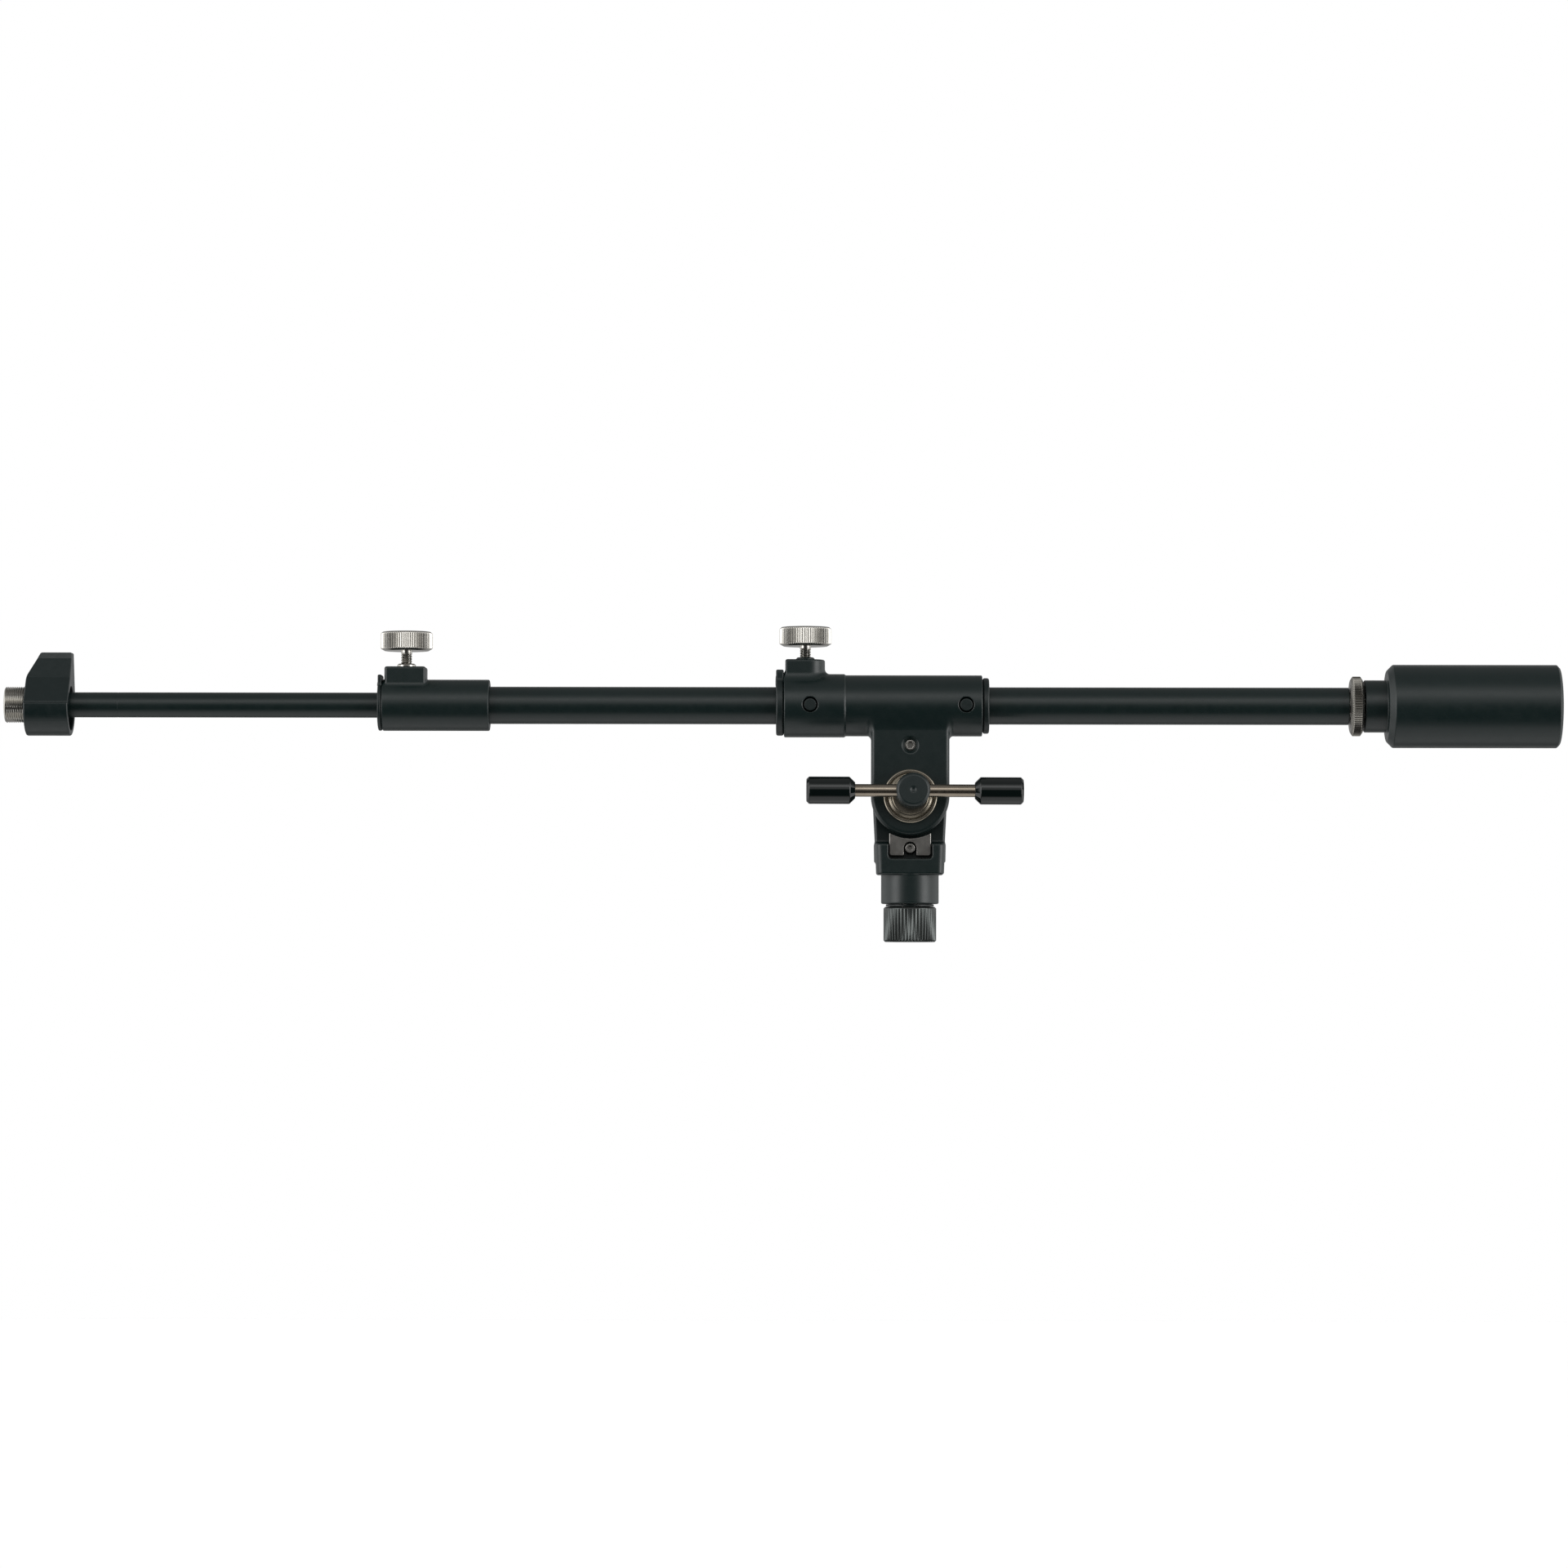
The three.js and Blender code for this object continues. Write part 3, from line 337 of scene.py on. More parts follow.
def slopeOf(field, points, step=0.02):
    slope = np.zeros_like(points)
    for d in range(3):
        ahead, behind = points.copy(), points.copy()
        ahead[:, d] += step
        behind[:, d] -= step
        slope[:, d] = (field(*ahead.T) - field(*behind.T)) / (2 * step)
    return slope


# Each finish: a base colour with slow drift, a fine grain that bends the light, and gloss that
# varies with a second grain. Grain can be drawn out around a turned part's axis.
def finish(name, look):
    material = bpy.data.materials.new(name)
    material.use_nodes = True
    tree = material.node_tree
    shader = tree.nodes["Principled BSDF"]
    shader.inputs["Metallic"].default_value = look["metal"]
    shader.inputs["Specular IOR Level"].default_value = look.get("specular", 0.5)
    shader.inputs["IOR"].default_value = look.get("ior", 1.5)
    shader.inputs["Coat Weight"].default_value = look.get("coat", 0)
    shader.inputs["Coat Roughness"].default_value = look.get("coatRoughness", 0.1)

    def link(source, target):
        tree.links.new(source, target)

    where = tree.nodes.new("ShaderNodeTexCoord")
    stretch = tree.nodes.new("ShaderNodeMapping")
    stretch.inputs["Scale"].default_value = look.get("stretch", (1, 1, 1))
    link(where.outputs["Object"], stretch.inputs["Vector"])

    def noise(scale, detail, rough, stretched):
        node = tree.nodes.new("ShaderNodeTexNoise")
        node.inputs["Scale"].default_value = scale
        node.inputs["Detail"].default_value = detail
        node.inputs["Roughness"].default_value = rough
        link(stretch.outputs["Vector"] if stretched else where.outputs["Object"], node.inputs["Vector"])
        return node

    def spread(source, low, high, fromLow=0.3, fromHigh=0.7):
        node = tree.nodes.new("ShaderNodeMapRange")
        node.inputs["From Min"].default_value = fromLow
        node.inputs["From Max"].default_value = fromHigh
        node.inputs["To Min"].default_value = low
        node.inputs["To Max"].default_value = high
        link(source, node.inputs["Value"])
        return node

    drift = noise(look["driftScale"], 3, 0.55, False)
    mix = tree.nodes.new("ShaderNodeMix")
    mix.data_type = "RGBA"
    mix.inputs["A"].default_value = (*look["colour"], 1)
    mix.inputs["B"].default_value = (*look["drift"], 1)
    link(spread(drift.outputs["Fac"], 0, 1).outputs["Result"], mix.inputs["Factor"])
    link(mix.outputs["Result"], shader.inputs["Base Color"])

    grain = noise(look["grainScale"], 2, 0.5, True)
    gloss = noise(look["glossScale"], 3, 0.6, True)
    low, high = look["roughness"]
    link(spread(gloss.outputs["Fac"], low, high).outputs["Result"], shader.inputs["Roughness"])
    bump = tree.nodes.new("ShaderNodeBump")
    bump.inputs["Strength"].default_value = look["bump"]
    bump.inputs["Distance"].default_value = look.get("bumpDepth", 0.00004)
    link(grain.outputs["Fac"], bump.inputs["Height"])
    link(bump.outputs["Normal"], shader.inputs["Normal"])
    return material


paintLook = {"metal": 0, "colour": (0.0008, 0.0068, 0.0066), "drift": (0.0012, 0.0080, 0.0077),
             "specular": 0.5, "driftScale": 35, "grainScale": 1700, "glossScale": 260,
             "roughness": (0.33, 0.39), "bump": 0.22}
plasticLook = {"metal": 0, "colour": (0.0010, 0.0060, 0.0058), "drift": (0.0014, 0.0070, 0.0068),
               "specular": 0.45, "driftScale": 60, "grainScale": 2600, "glossScale": 400,
               "roughness": (0.36, 0.46), "bump": 0.3}
wingLook = {"metal": 0, "colour": (0.0012, 0.0066, 0.0066), "drift": (0.0016, 0.0078, 0.0078),
            "specular": 0.5, "driftScale": 50, "grainScale": 2200, "glossScale": 350,
            "roughness": (0.30, 0.40), "bump": 0.3}
gripLook = {"metal": 0, "colour": (0.0004, 0.0024, 0.0022), "drift": (0.0006, 0.0030, 0.0028),
            "specular": 0.55, "driftScale": 90, "grainScale": 900, "glossScale": 300,
            "roughness": (0.08, 0.12), "bump": 0.05}
headLook = {"metal": 0, "colour": (0.0012, 0.0068, 0.0068), "drift": (0.0018, 0.0082, 0.0082),
            "specular": 0.5, "driftScale": 80, "grainScale": 2000, "glossScale": 300,
            "roughness": (0.34, 0.42), "bump": 0.25}
darkMetalLook = {"metal": 0.8, "colour": (0.060, 0.066, 0.064), "drift": (0.066, 0.072, 0.070),
                 "specular": 0.5, "driftScale": 120, "grainScale": 1500, "glossScale": 500,
                 "roughness": (0.22, 0.27), "bump": 0.1, "bumpDepth": 0.00001}
nickelLook = {"metal": 1, "colour": (0.52, 0.505, 0.47), "drift": (0.46, 0.445, 0.41), "driftScale": 140,
              "stretch": (1, 1, 14), "grainScale": 500, "glossScale": 260, "roughness": (0.17, 0.24),
              "bump": 0.12, "bumpDepth": 0.000006}
warmNickelLook = {"metal": 1, "colour": (0.36, 0.31, 0.25), "drift": (0.29, 0.25, 0.20), "driftScale": 120,
                  "stretch": (12, 1, 1), "grainScale": 420, "glossScale": 300, "roughness": (0.18, 0.27),
                  "bump": 0.16, "bumpDepth": 0.000008}
washerLook = {"metal": 1, "colour": (0.40, 0.36, 0.29), "drift": (0.28, 0.25, 0.20), "driftScale": 160,
              "stretch": (1, 10, 1), "grainScale": 600, "glossScale": 400, "roughness": (0.20, 0.29),
              "bump": 0.2, "bumpDepth": 0.000008}
blackNickelLook = {"metal": 1, "colour": (0.25, 0.24, 0.215), "drift": (0.19, 0.182, 0.165),
                   "driftScale": 150, "stretch": (12, 1, 1), "grainScale": 500, "glossScale": 300,
                   "roughness": (0.22, 0.30), "bump": 0.2, "bumpDepth": 0.000008}
steelLook = {"metal": 1, "colour": (0.34, 0.33, 0.31), "drift": (0.25, 0.24, 0.225), "driftScale": 150,
             "grainScale": 900, "glossScale": 500, "roughness": (0.28, 0.38), "bump": 0.25,
             "bumpDepth": 0.00001}
brassLook = {"metal": 1, "colour": (0.55, 0.38, 0.15), "drift": (0.42, 0.28, 0.10), "driftScale": 180,
             "stretch": (10, 1, 1), "grainScale": 500, "glossScale": 300, "roughness": (0.22, 0.32),
             "bump": 0.15, "bumpDepth": 0.000008}
fibreLook = {"metal": 0, "colour": (0.060, 0.038, 0.022), "drift": (0.090, 0.058, 0.034), "specular": 0.3,
             "driftScale": 300, "grainScale": 2400, "glossScale": 900, "roughness": (0.7, 0.85), "bump": 0.5}

blackPaint = finish("black_paint", paintLook)
bushPlastic = finish("bush_plastic", plasticLook)
wingPlastic = finish("wing_plastic", wingLook)
gripPlastic = finish("grip_plastic", gripLook)
headBlack = finish("head_black", headLook)
darkMetal = finish("dark_metal", darkMetalLook)
brightNickel = finish("bright_nickel", nickelLook)
warmNickel = finish("warm_nickel", warmNickelLook)
washerNickel = finish("washer_nickel", washerLook)
blackNickel = finish("black_nickel", blackNickelLook)
zincSteel = finish("steel", steelLook)
turnedBrass = finish("brass", brassLook)
pressedFibre = finish("fibre", fibreLook)
print("finishes made")


collarSize = {"teeth": 48, "toothDepth": 0.75, "knurlFoot": 0.5, "knurlTop": 0.25, "threadPitch": 0.941,
              "threadDepth": 0.27}
low, high = span("stand_collar")
outer, top = (high[0] - low[0]) / 2, high[2]
socket = 7.55  # inside the stand thread
throat = 5.15
collarProfile = [
    (socket, 0, 0.25), (outer - 0.7, 0, 0.3), (outer, 0.7, 0.35), (outer, top - 0.7, 0.3),
    (outer - 0.7, top, 0.3), (throat, top, 0.2), (throat, top - 3.7, 0.1), (socket, top - 3.7, 0.1),
]
collar = turned(
    "standCollar", collarProfile, "z", (0, 0, 0), isRing=True,
    knurl={"teeth": collarSize["teeth"], "depth": collarSize["toothDepth"],
           "start": collarSize["knurlFoot"], "end": top - collarSize["knurlTop"], "fade": 0.3,
           "sharpness": 1.5, "band": (outer - 0.55, outer + 1)},
    thread={"pitch": collarSize["threadPitch"], "depth": -collarSize["threadDepth"],
            "band": (socket - 0.1, socket + 0.1), "start": 0.3, "end": top - 4},
)
fit(collar, "stand_collar", "dark_metal", darkMetal, "stand_collar")

low, high = span("swivel_bolt")
boltHead = {"od": 13, "height": 2.2, "shank": 10, "socket": 5, "socketDepth": 1.6}


def swivelBoltField(x, y, z):
    head = rodField(x, y, boltHead["od"] / 2, z, low[2], low[2] + boltHead["height"], 0.4)
    shank = rodField(x, y, boltHead["shank"] / 2, z, low[2] + 0.5, high[2], 0.6)
    socketHole = np.maximum(hexField(x, y, boltHead["socket"]), z - low[2] - boltHead["socketDepth"])
    return carve(blend(head, shank, 0.3), socketHole, 0.15)


fit(skinned("swivelBolt", swivelBoltField, low, high, 0.3), "base", "steel", zincSteel, "swivel_bolt")

low, high = span("swivel_washer")
washerRing = [(throat, low[2], 0.1), ((high[0] - low[0]) / 2, low[2], 0.25),
              ((high[0] - low[0]) / 2, high[2], 0.25), (throat, high[2], 0.1)]
fit(turned("swivelWasher", washerRing, "z", (0, 0, 0), isRing=True), "base", "bush_plastic", bushPlastic,
    "swivel_washer")

castingSize = {
    "columnRadius": 12.35, "blockFoot": 28.8, "blockTop": 42.1, "footHalf": 14.4, "topHalf": 14.9,
    "halfDepth": 12.8, "corner": 3.2, "lugRadius": 16, "lugFoot": 15, "lugFront": 0.5, "lugBack": 10.8,
    "notchHalf": 9.4, "notchDepth": 6.6, "notchBack": -3.4, "notchCorner": 1.7, "pinBelow": 2.1,
    "pinHole": 2.25, "sleeveHole": 6.15, "sleeveDepth": 6.15, "nutFlats": 11.3, "nutDepth": 4.5,
    "boltHole": 4.2, "swivelHole": 5.15, "swivelReach": 17,
}
castingLow, castingHigh = span("base_casting")


def castingField(x, y, z):
    s = castingSize
    column = rodField(x, y, s["columnRadius"], z, castingLow[2], s["blockFoot"] + 4, 0.7)
    rise = (z - s["blockFoot"]) / (s["blockTop"] - s["blockFoot"])
    half = s["footHalf"] + (s["topHalf"] - s["footHalf"]) * rise
    block = meet(rectangleField(x * s["topHalf"] / half, y, s["topHalf"], s["halfDepth"], s["corner"]),
                 between(z, s["blockFoot"], s["blockTop"]), 0.9)
    body = blend(column, block, 0.5)
    lugShare = np.clip((z - s["blockTop"]) / (hingeZ - s["blockTop"]), 0, 1)
    side = s["lugFoot"] + (s["lugRadius"] - s["lugFoot"]) * lugShare
    outline = np.where(z > hingeZ, np.hypot(x, z - hingeZ) - s["lugRadius"], np.abs(x) - side)
    outline = np.maximum(outline, s["blockFoot"] + 6 - z)
    lug = meet(outline, between(y, s["lugFront"], s["lugBack"]), 1.4)
    body = blend(body, lug, 1.6)
    notch = rectangleField(x, z - s["blockTop"], s["notchHalf"], s["notchDepth"], s["notchCorner"])
    body = carve(body, np.maximum(notch, y - s["notchBack"]), 0.6)
    pin = np.maximum(np.hypot(x, z - s["blockTop"] + s["pinBelow"]) - s["pinHole"], y - 3.75)
    body = carve(body, pin, 0.2)
    sleeve = np.maximum(np.hypot(x, z - hingeZ) - s["sleeveHole"], y - s["sleeveDepth"])
    body = carve(body, sleeve, 0.2)
    body = carve(body, np.hypot(x, z - hingeZ) - s["boltHole"], 0)
    nut = np.maximum(hexField(x, z - hingeZ, s["nutFlats"]), s["lugBack"] - s["nutDepth"] - y)
    body = carve(body, nut, 0.3)
    swivel = np.maximum(np.hypot(x, y) - s["swivelHole"], z - castingLow[2] - s["swivelReach"])
    return carve(body, swivel, 0.2)


casting = skinned("baseCasting", castingField, castingLow, castingHigh, 0.42)
fit(casting, "base", "black_paint", blackPaint, "base_casting")

plateSize = {"halfWidth": 8.9, "hollow": 17.85, "corner": 1.2, "slot": 2.7, "footBelow": 5.3}
plateLow, plateHigh = span("stop_plate")


def plateField(x, y, z):
    s = plateSize
    foot = castingSize["blockTop"] - s["footBelow"]
    body = rectangleField(x, z - foot - 8, s["halfWidth"], 8, s["corner"])
    body = carve(body, np.hypot(x, z - hingeZ) - s["hollow"], 0.3)
    pinZ = castingSize["blockTop"] - castingSize["pinBelow"]
    slot = np.where(z > pinZ, np.hypot(x, z - pinZ), np.abs(x)) - s["slot"]
    body = carve(body, slot, 0.6)
    return meet(body, between(y, plateLow[1], plateHigh[1]), 0.3)


fit(skinned("stopPlate", plateField, plateLow, plateHigh, 0.25), "base", "steel", zincSteel, "stop_plate")

pinLow, pinHigh = span("stop_plate_screw")
pinZ = (pinLow[2] + pinHigh[2]) / 2


def pinField(x, y, z):
    body = rodField(x, z - pinZ, 2.1, y, pinLow[1], pinHigh[1], 0.35)
    return carve(body, np.maximum(hexField(x, z - pinZ, 2), y - pinLow[1] - 1.4), 0.1)


fit(skinned("stopPlateScrew", pinField, pinLow, pinHigh, 0.18), "base", "steel", zincSteel,
    "stop_plate_screw")

low, high = span("friction_disc")
discRadius = (high[0] - low[0]) / 2
discProfile = [(6.15, low[1], 0.1), (discRadius, low[1], 0.15), (discRadius, high[1], 0.15),
               (6.15, high[1], 0.1)]
disc = turned("frictionDisc", discProfile, "y", (0, 0, hingeZ), isRing=True)
fit(disc, "base", "fibre", pressedFibre, "friction_disc")

nutLow, nutHigh = span("pivot_nut")


def nutField(x, y, z):
    up = z - hingeZ
    body = np.maximum(hexField(x, up, 11), between(y, nutLow[1], nutHigh[1]))
    bevel = (np.hypot(x, up) + np.abs(y - (nutLow[1] + nutHigh[1]) / 2) - 5.6 - 3.25) * bevelSlope
    body = meet(body, bevel, 0.15)
    return carve(body, np.hypot(x, up) - 3.55, 0.4)


fit(skinned("pivotNut", nutField, nutLow, nutHigh, 0.25), "base", "steel", zincSteel, "pivot_nut")
print("stand side made")


low, high = span("thrust_washer")
front, back = low[1], high[1]
rim = (high[0] - low[0]) / 2
washerBore = 4.3
washerProfile = [
    (washerBore, back, 0.1), (rim, back, 0.2), (rim, front + 1.6, 0.15), (rim - 0.35, front + 1.3, 0.2),
    (rim - 1.3, front + 1.3, 0.2), (rim - 1.75, front + 2.1, 0.25), (rim - 2.7, front + 1.5, 0.2),
    (8.9, front + 1.1, 0.15), (8.5, front + 0.55, 0.2), (7.8, front + 0.5, 0.15), (7.6, front, 0.15),
    (washerBore, front, 0.1),
]
washer = turned("thrustWasher", washerProfile, "y", (0, 0, hingeZ), segments=128, isRing=True)
fit(washer, "thrust_washer", "warm_nickel", washerNickel, "thrust_washer")

headSize = {"od": 14.5, "length": 13.9, "chamfer": 1, "gap": 0.75, "barBehindFront": 6.1, "barHole": 2.85,
            "shank": 3, "pitch": 1, "threadDepth": 0.55, "threadLength": 16}
headFront = front - headSize["gap"] - headSize["length"] - boltCentre[1]
headBack = headFront + headSize["length"]
shankTip = (nutHigh[1] + 0.6) - boltCentre[1]
barY = headFront + headSize["barBehindFront"]


def headField(x, y, z):
    s = headSize
    radial = np.hypot(x, z)
    body = rodField(x, z, s["od"] / 2, y, headFront, headBack, 0.25)
    bevel = (radial - y + headFront - s["od"] / 2 + s["chamfer"]) * bevelSlope
    body = meet(body, bevel, 0.3)
    dimple = np.sqrt(x ** 2 + z ** 2 + (y - headFront + 1.6) ** 2) - 2.1
    body = carve(body, dimple, 0.15)
    return carve(body, np.hypot(y - barY, z) - s["barHole"], 0.35)


reach = headSize["od"] / 2
head = skinned("tBoltHead", headField, (-reach, headFront, -reach), (reach, headBack, reach), 0.28, lean=True)
fit(head, "t_bolt", "head_black", headBlack, "t_bolt")
shankProfile = [(0, headBack - 0.4), (headSize["shank"], headBack - 0.4, 0.1),
                (headSize["shank"], shankTip, 0.5), (0, shankTip)]
shank = turned(
    "tBoltShank", shankProfile, "y", (0, 0, 0), segments=48, lean=True,
    thread={"pitch": headSize["pitch"], "depth": headSize["threadDepth"],
            "band": (headSize["shank"] - 0.1, headSize["shank"] + 0.1),
            "start": shankTip - headSize["threadLength"], "end": shankTip - 0.3},
)
fit(shank, "t_bolt", "head_black", zincSteel)

barSize = {"radius": 2.7, "span": 92.3, "shift": 0.9, "gripRadius": 5.85, "gripLength": 20.7, "gripBore": 14,
           "innerChamfer": 2.4, "outerChamfer": 1.1}
halfSpan = barSize["span"] / 2
gripStart = halfSpan - barSize["gripLength"]
barEnd = gripStart + barSize["gripBore"] - 0.15
shift = barSize["shift"]
barProfile = [(0, -barEnd), (barSize["radius"], -barEnd, 0.4), (barSize["radius"], barEnd, 0.4), (0, barEnd)]
bar = turned("tBar", barProfile, "x", (shift, barY, 0), segments=64, lean=True)
fit(bar, "t_bar", "warm_nickel", warmNickel, "t_bar")


def gripProfile(side):
    grip = barSize["gripRadius"]
    end = gripStart + barSize["gripLength"]
    profile = [
        (2.85, gripStart, 0.15), (grip - barSize["innerChamfer"], gripStart, 0.4),
        (grip, gripStart + barSize["innerChamfer"], 0.9), (grip, end - barSize["outerChamfer"], 0.7),
        (grip - barSize["outerChamfer"], end, 0.5), (0, end),
    ]
    inner = [(0, gripStart + barSize["gripBore"]), (2.85, gripStart + barSize["gripBore"], 0.1)]
    return [(r, side * along, *rest) for r, along, *rest in inner + profile]


for side, node in ((1, "t_bar_grip_right"), (-1, "t_bar_grip_left")):
    grip = turned("tBarGripRight" if side > 0 else "tBarGripLeft", gripProfile(side), "x", (shift, barY, 0),
                  segments=72, lean=True)
    fit(grip, "t_bar", "grip_plastic", gripPlastic, node)
print("T handle made")


housingSize = {
    "barrel": 13.1, "collar": 13.6, "collarLength": 25.4, "bossInset": 0.5, "bossLength": 17,
    "bossHalf": 7.3, "bossTop": 19.7, "bossFillet": 2.2, "armRadius": 16.75, "armFront": -10.8,
    "armBack": -0.8, "armEdge": 1.9, "armFillet": 2.4, "bore": 9.8, "screwHole": 4.15, "pivotHole": 6.15,
    "setScrewRise": 21.9, "sink": 3.65, "pegHole": 3.25,
}
housingLow, housingHigh = span("tilt_housing")
housingLeft, housingRight = housingLow[0], housingHigh[0]
boomScrewX = middle("boom_screw_stud")[0]
setScrewZ = hingeZ + housingSize["setScrewRise"]
leftPegX, rightPegX = housingLeft + 11.2, housingRight - 7


def housingField(x, y, z):
    s = housingSize
    up = z - boomZ
    radial = np.hypot(y, up)
    barrel = meet(radial - s["barrel"], between(x, housingLeft, housingRight), 0.5)
    collarEnd = housingLeft + s["collarLength"]
    sleeve = meet(radial - s["collar"], between(x, housingLeft, collarEnd + 0.7), 0.45)
    body = blend(barrel, sleeve, 0.4)
    bossLeft = housingLeft + s["bossInset"]
    roundX = bossLeft + s["bossLength"] - s["bossHalf"]
    plan = np.where(x > roundX, np.hypot(x - roundX, y), np.abs(y)) - s["bossHalf"]
    plan = meet(plan, bossLeft - x, 1.0)
    boss = meet(plan, between(up, 0, s["bossTop"]), 0.9)
    body = blend(body, boss, s["bossFillet"])
    drop = np.minimum(z - hingeZ, 0)
    outline = np.hypot(x, drop) - s["armRadius"]
    middleY = (s["armFront"] + s["armBack"]) / 2
    halfY = (s["armBack"] - s["armFront"]) / 2
    arm = meet(np.maximum(outline, up), np.abs(y - middleY) - halfY, s["armEdge"])
    body = blend(body, arm, s["armFillet"])
    body = carve(body, radial - s["bore"], 0.35)
    screw = np.maximum(np.hypot(x - boomScrewX, y) - s["screwHole"], -up)
    body = carve(body, screw, 0.3)
    body = carve(body, np.hypot(x, z - hingeZ) - s["pivotHole"], 0.3)
    sinkX = np.hypot(x, z - setScrewZ)
    body = carve(body, np.maximum(sinkX - 2.45, y + 3), 0)
    body = carve(body, (sinkX + (y - s["armFront"]) - s["sink"]) * bevelSlope, 0.15)
    for pegX in (leftPegX, rightPegX):
        body = carve(body, np.maximum(np.hypot(x - pegX, up) - s["pegHole"], y), 0.3)
    return body


housing = skinned("tiltHousing", housingField, housingLow, housingHigh, 0.42)
fit(housing, "tilt_clamp", "black_paint", blackPaint, "tilt_housing")
print("housing made")


def bushField(x, y, z, s):
    up = z - boomZ
    radial = np.hypot(y, up)
    flange = meet(radial - s["flange"], between(x, s["flangeLow"], s["flangeHigh"]), s["edge"])
    if s.get("tabTop"):
        tab = rectangleField(y, up - s["tabTop"] / 2 - 4, s["tabHalf"], s["tabTop"] / 2 - 4, s["tabCorner"])
        tab = meet(tab, between(x, s["flangeLow"], s["flangeHigh"]), s["edge"] * 0.7)
        flange = blend(flange, tab, 0.8)
    body = blend(flange, meet(radial - s["barrel"], between(x, s["barrelLow"], s["barrelHigh"]), 0.3), 0)
    if s.get("pegX"):
        peg = meet(np.hypot(x - s["pegX"], up) - s["peg"], between(y, -s["pegReach"], -s["bore"] - 0.4), 0.45)
        body = np.minimum(body, peg)
    body = carve(body, radial - s["bore"], 0.3)
    if s.get("holeX"):
        body = carve(body, np.maximum(np.hypot(x - s["holeX"], y) - s["hole"], -up), 0.1)
    return body


low, high = span("left_bush")
leftBushSize = {"flangeLow": low[0], "flangeHigh": low[0] + 3.3, "flange": 12.9, "edge": 0.9,
                "tabTop": 15.2, "tabHalf": 7.3, "tabCorner": 1.2, "barrel": 9.65, "barrelLow": low[0] + 1,
                "barrelHigh": high[0], "bore": 8.15, "pegX": leftPegX, "peg": 2.7, "pegReach": 13.1,
                "holeX": boomScrewX, "hole": 2.45}
leftBush = skinned("leftBush", lambda x, y, z: bushField(x, y, z, leftBushSize), low, high, 0.34)
fit(leftBush, "tilt_clamp", "bush_plastic", bushPlastic, "left_bush")

low, high = span("right_bush")
rightBushSize = {"flangeLow": high[0] - 2.8, "flangeHigh": high[0], "flange": 11.95, "edge": 0.9,
                 "barrel": 9.65, "barrelLow": low[0], "barrelHigh": high[0] - 1, "bore": 8.15,
                 "pegX": rightPegX, "peg": 2.7, "pegReach": 12.8}
rightBush = skinned("rightBush", lambda x, y, z: bushField(x, y, z, rightBushSize), low, high, 0.34)
fit(rightBush, "tilt_clamp", "bush_plastic", bushPlastic, "right_bush")

screwLow, screwHigh = span("arm_set_screw")


def setScrewField(x, y, z):
    body = rodField(x, z - setScrewZ, 2.3, y, screwLow[1], screwHigh[1], 0.3)
    return carve(body, np.maximum(hexField(x, z - setScrewZ, 2.5), y - screwLow[1] - 2.2), 0.12)


fit(skinned("armSetScrew", setScrewField, screwLow, screwHigh, 0.18), "tilt_clamp", "steel", brightNickel,
    "arm_set_screw")


knobSize = {"od": 22.3, "teeth": 70, "toothDepth": 0.4, "dish": 0.45, "bore": 2.55, "boreDepth": 6}
studSize = {"radius": 2.4, "pitch": 1.058, "threadDepth": 0.36, "plain": 1.6}


def thumbScrew(prefix, body, insertBody, tubeName, insertFinish, insertSlot):
    stud, knob, insert = span(prefix + "_screw_stud"), span(prefix + "_knob"), span(prefix + "_screw_insert")
    centre = (middle(prefix + "_knob")[0], 0, 0)
    foot, top = knob[0][2], knob[1][2]
    rim = knobSize["od"] / 2
    boreTop = foot + knobSize["boreDepth"]
    profile = [
        (0, boreTop), (knobSize["bore"], boreTop), (knobSize["bore"], foot, 0.15), (rim - 1.7, foot, 0.25),
        (rim, foot + 1, 0.5), (rim, top - 0.8, 0.55), (rim - 0.9, top, 0.3), (7.6, top, 0.25),
        (7.2, top - knobSize["dish"], 0.3),
        (0, top - knobSize["dish"]),
    ]
    piece = turned(
        tubeName + "Knob", profile, "z", centre,
        knurl={"teeth": knobSize["teeth"], "depth": knobSize["toothDepth"], "start": foot + 0.7,
               "end": top - 0.5, "fade": 0.45, "sharpness": 1.6, "band": (rim - 0.35, rim + 0.3)},
    )
    fit(piece, body, "bright_nickel", brightNickel, prefix + "_knob")
    low, high = stud[0][2], stud[1][2]
    studProfile = [(0, low), (studSize["radius"], low, 0.3), (studSize["radius"], high, 0.2), (0, high)]
    piece = turned(
        tubeName + "Stud", studProfile, "z", centre, segments=48,
        thread={"pitch": studSize["pitch"], "depth": studSize["threadDepth"], "band": (2.3, 2.5),
                "start": low + 0.2, "end": foot - studSize["plain"] + 0.9},
    )
    fit(piece, body, "bright_nickel", brightNickel, prefix + "_screw_stud")
    low, high = insert[0][2], insert[1][2]
    insertProfile = [(2.55, low, 0.1), (4, low, 0.2), (4, high - 0.55, 0.15), (3.45, high, 0.15),
                     (2.55, high, 0.15)]
    piece = turned(tubeName + "Insert", insertProfile, "z", centre, segments=64, isRing=True)
    fit(piece, insertBody, insertSlot, insertFinish, prefix + "_screw_insert")


thumbScrew("boom", "boom_screw", "tilt_clamp", "boom", bushPlastic, "bush_plastic")
thumbScrew("sleeve", "sleeve_screw", "main_tube", "sleeve", brightNickel, "bright_nickel")
print("thumb screws made")


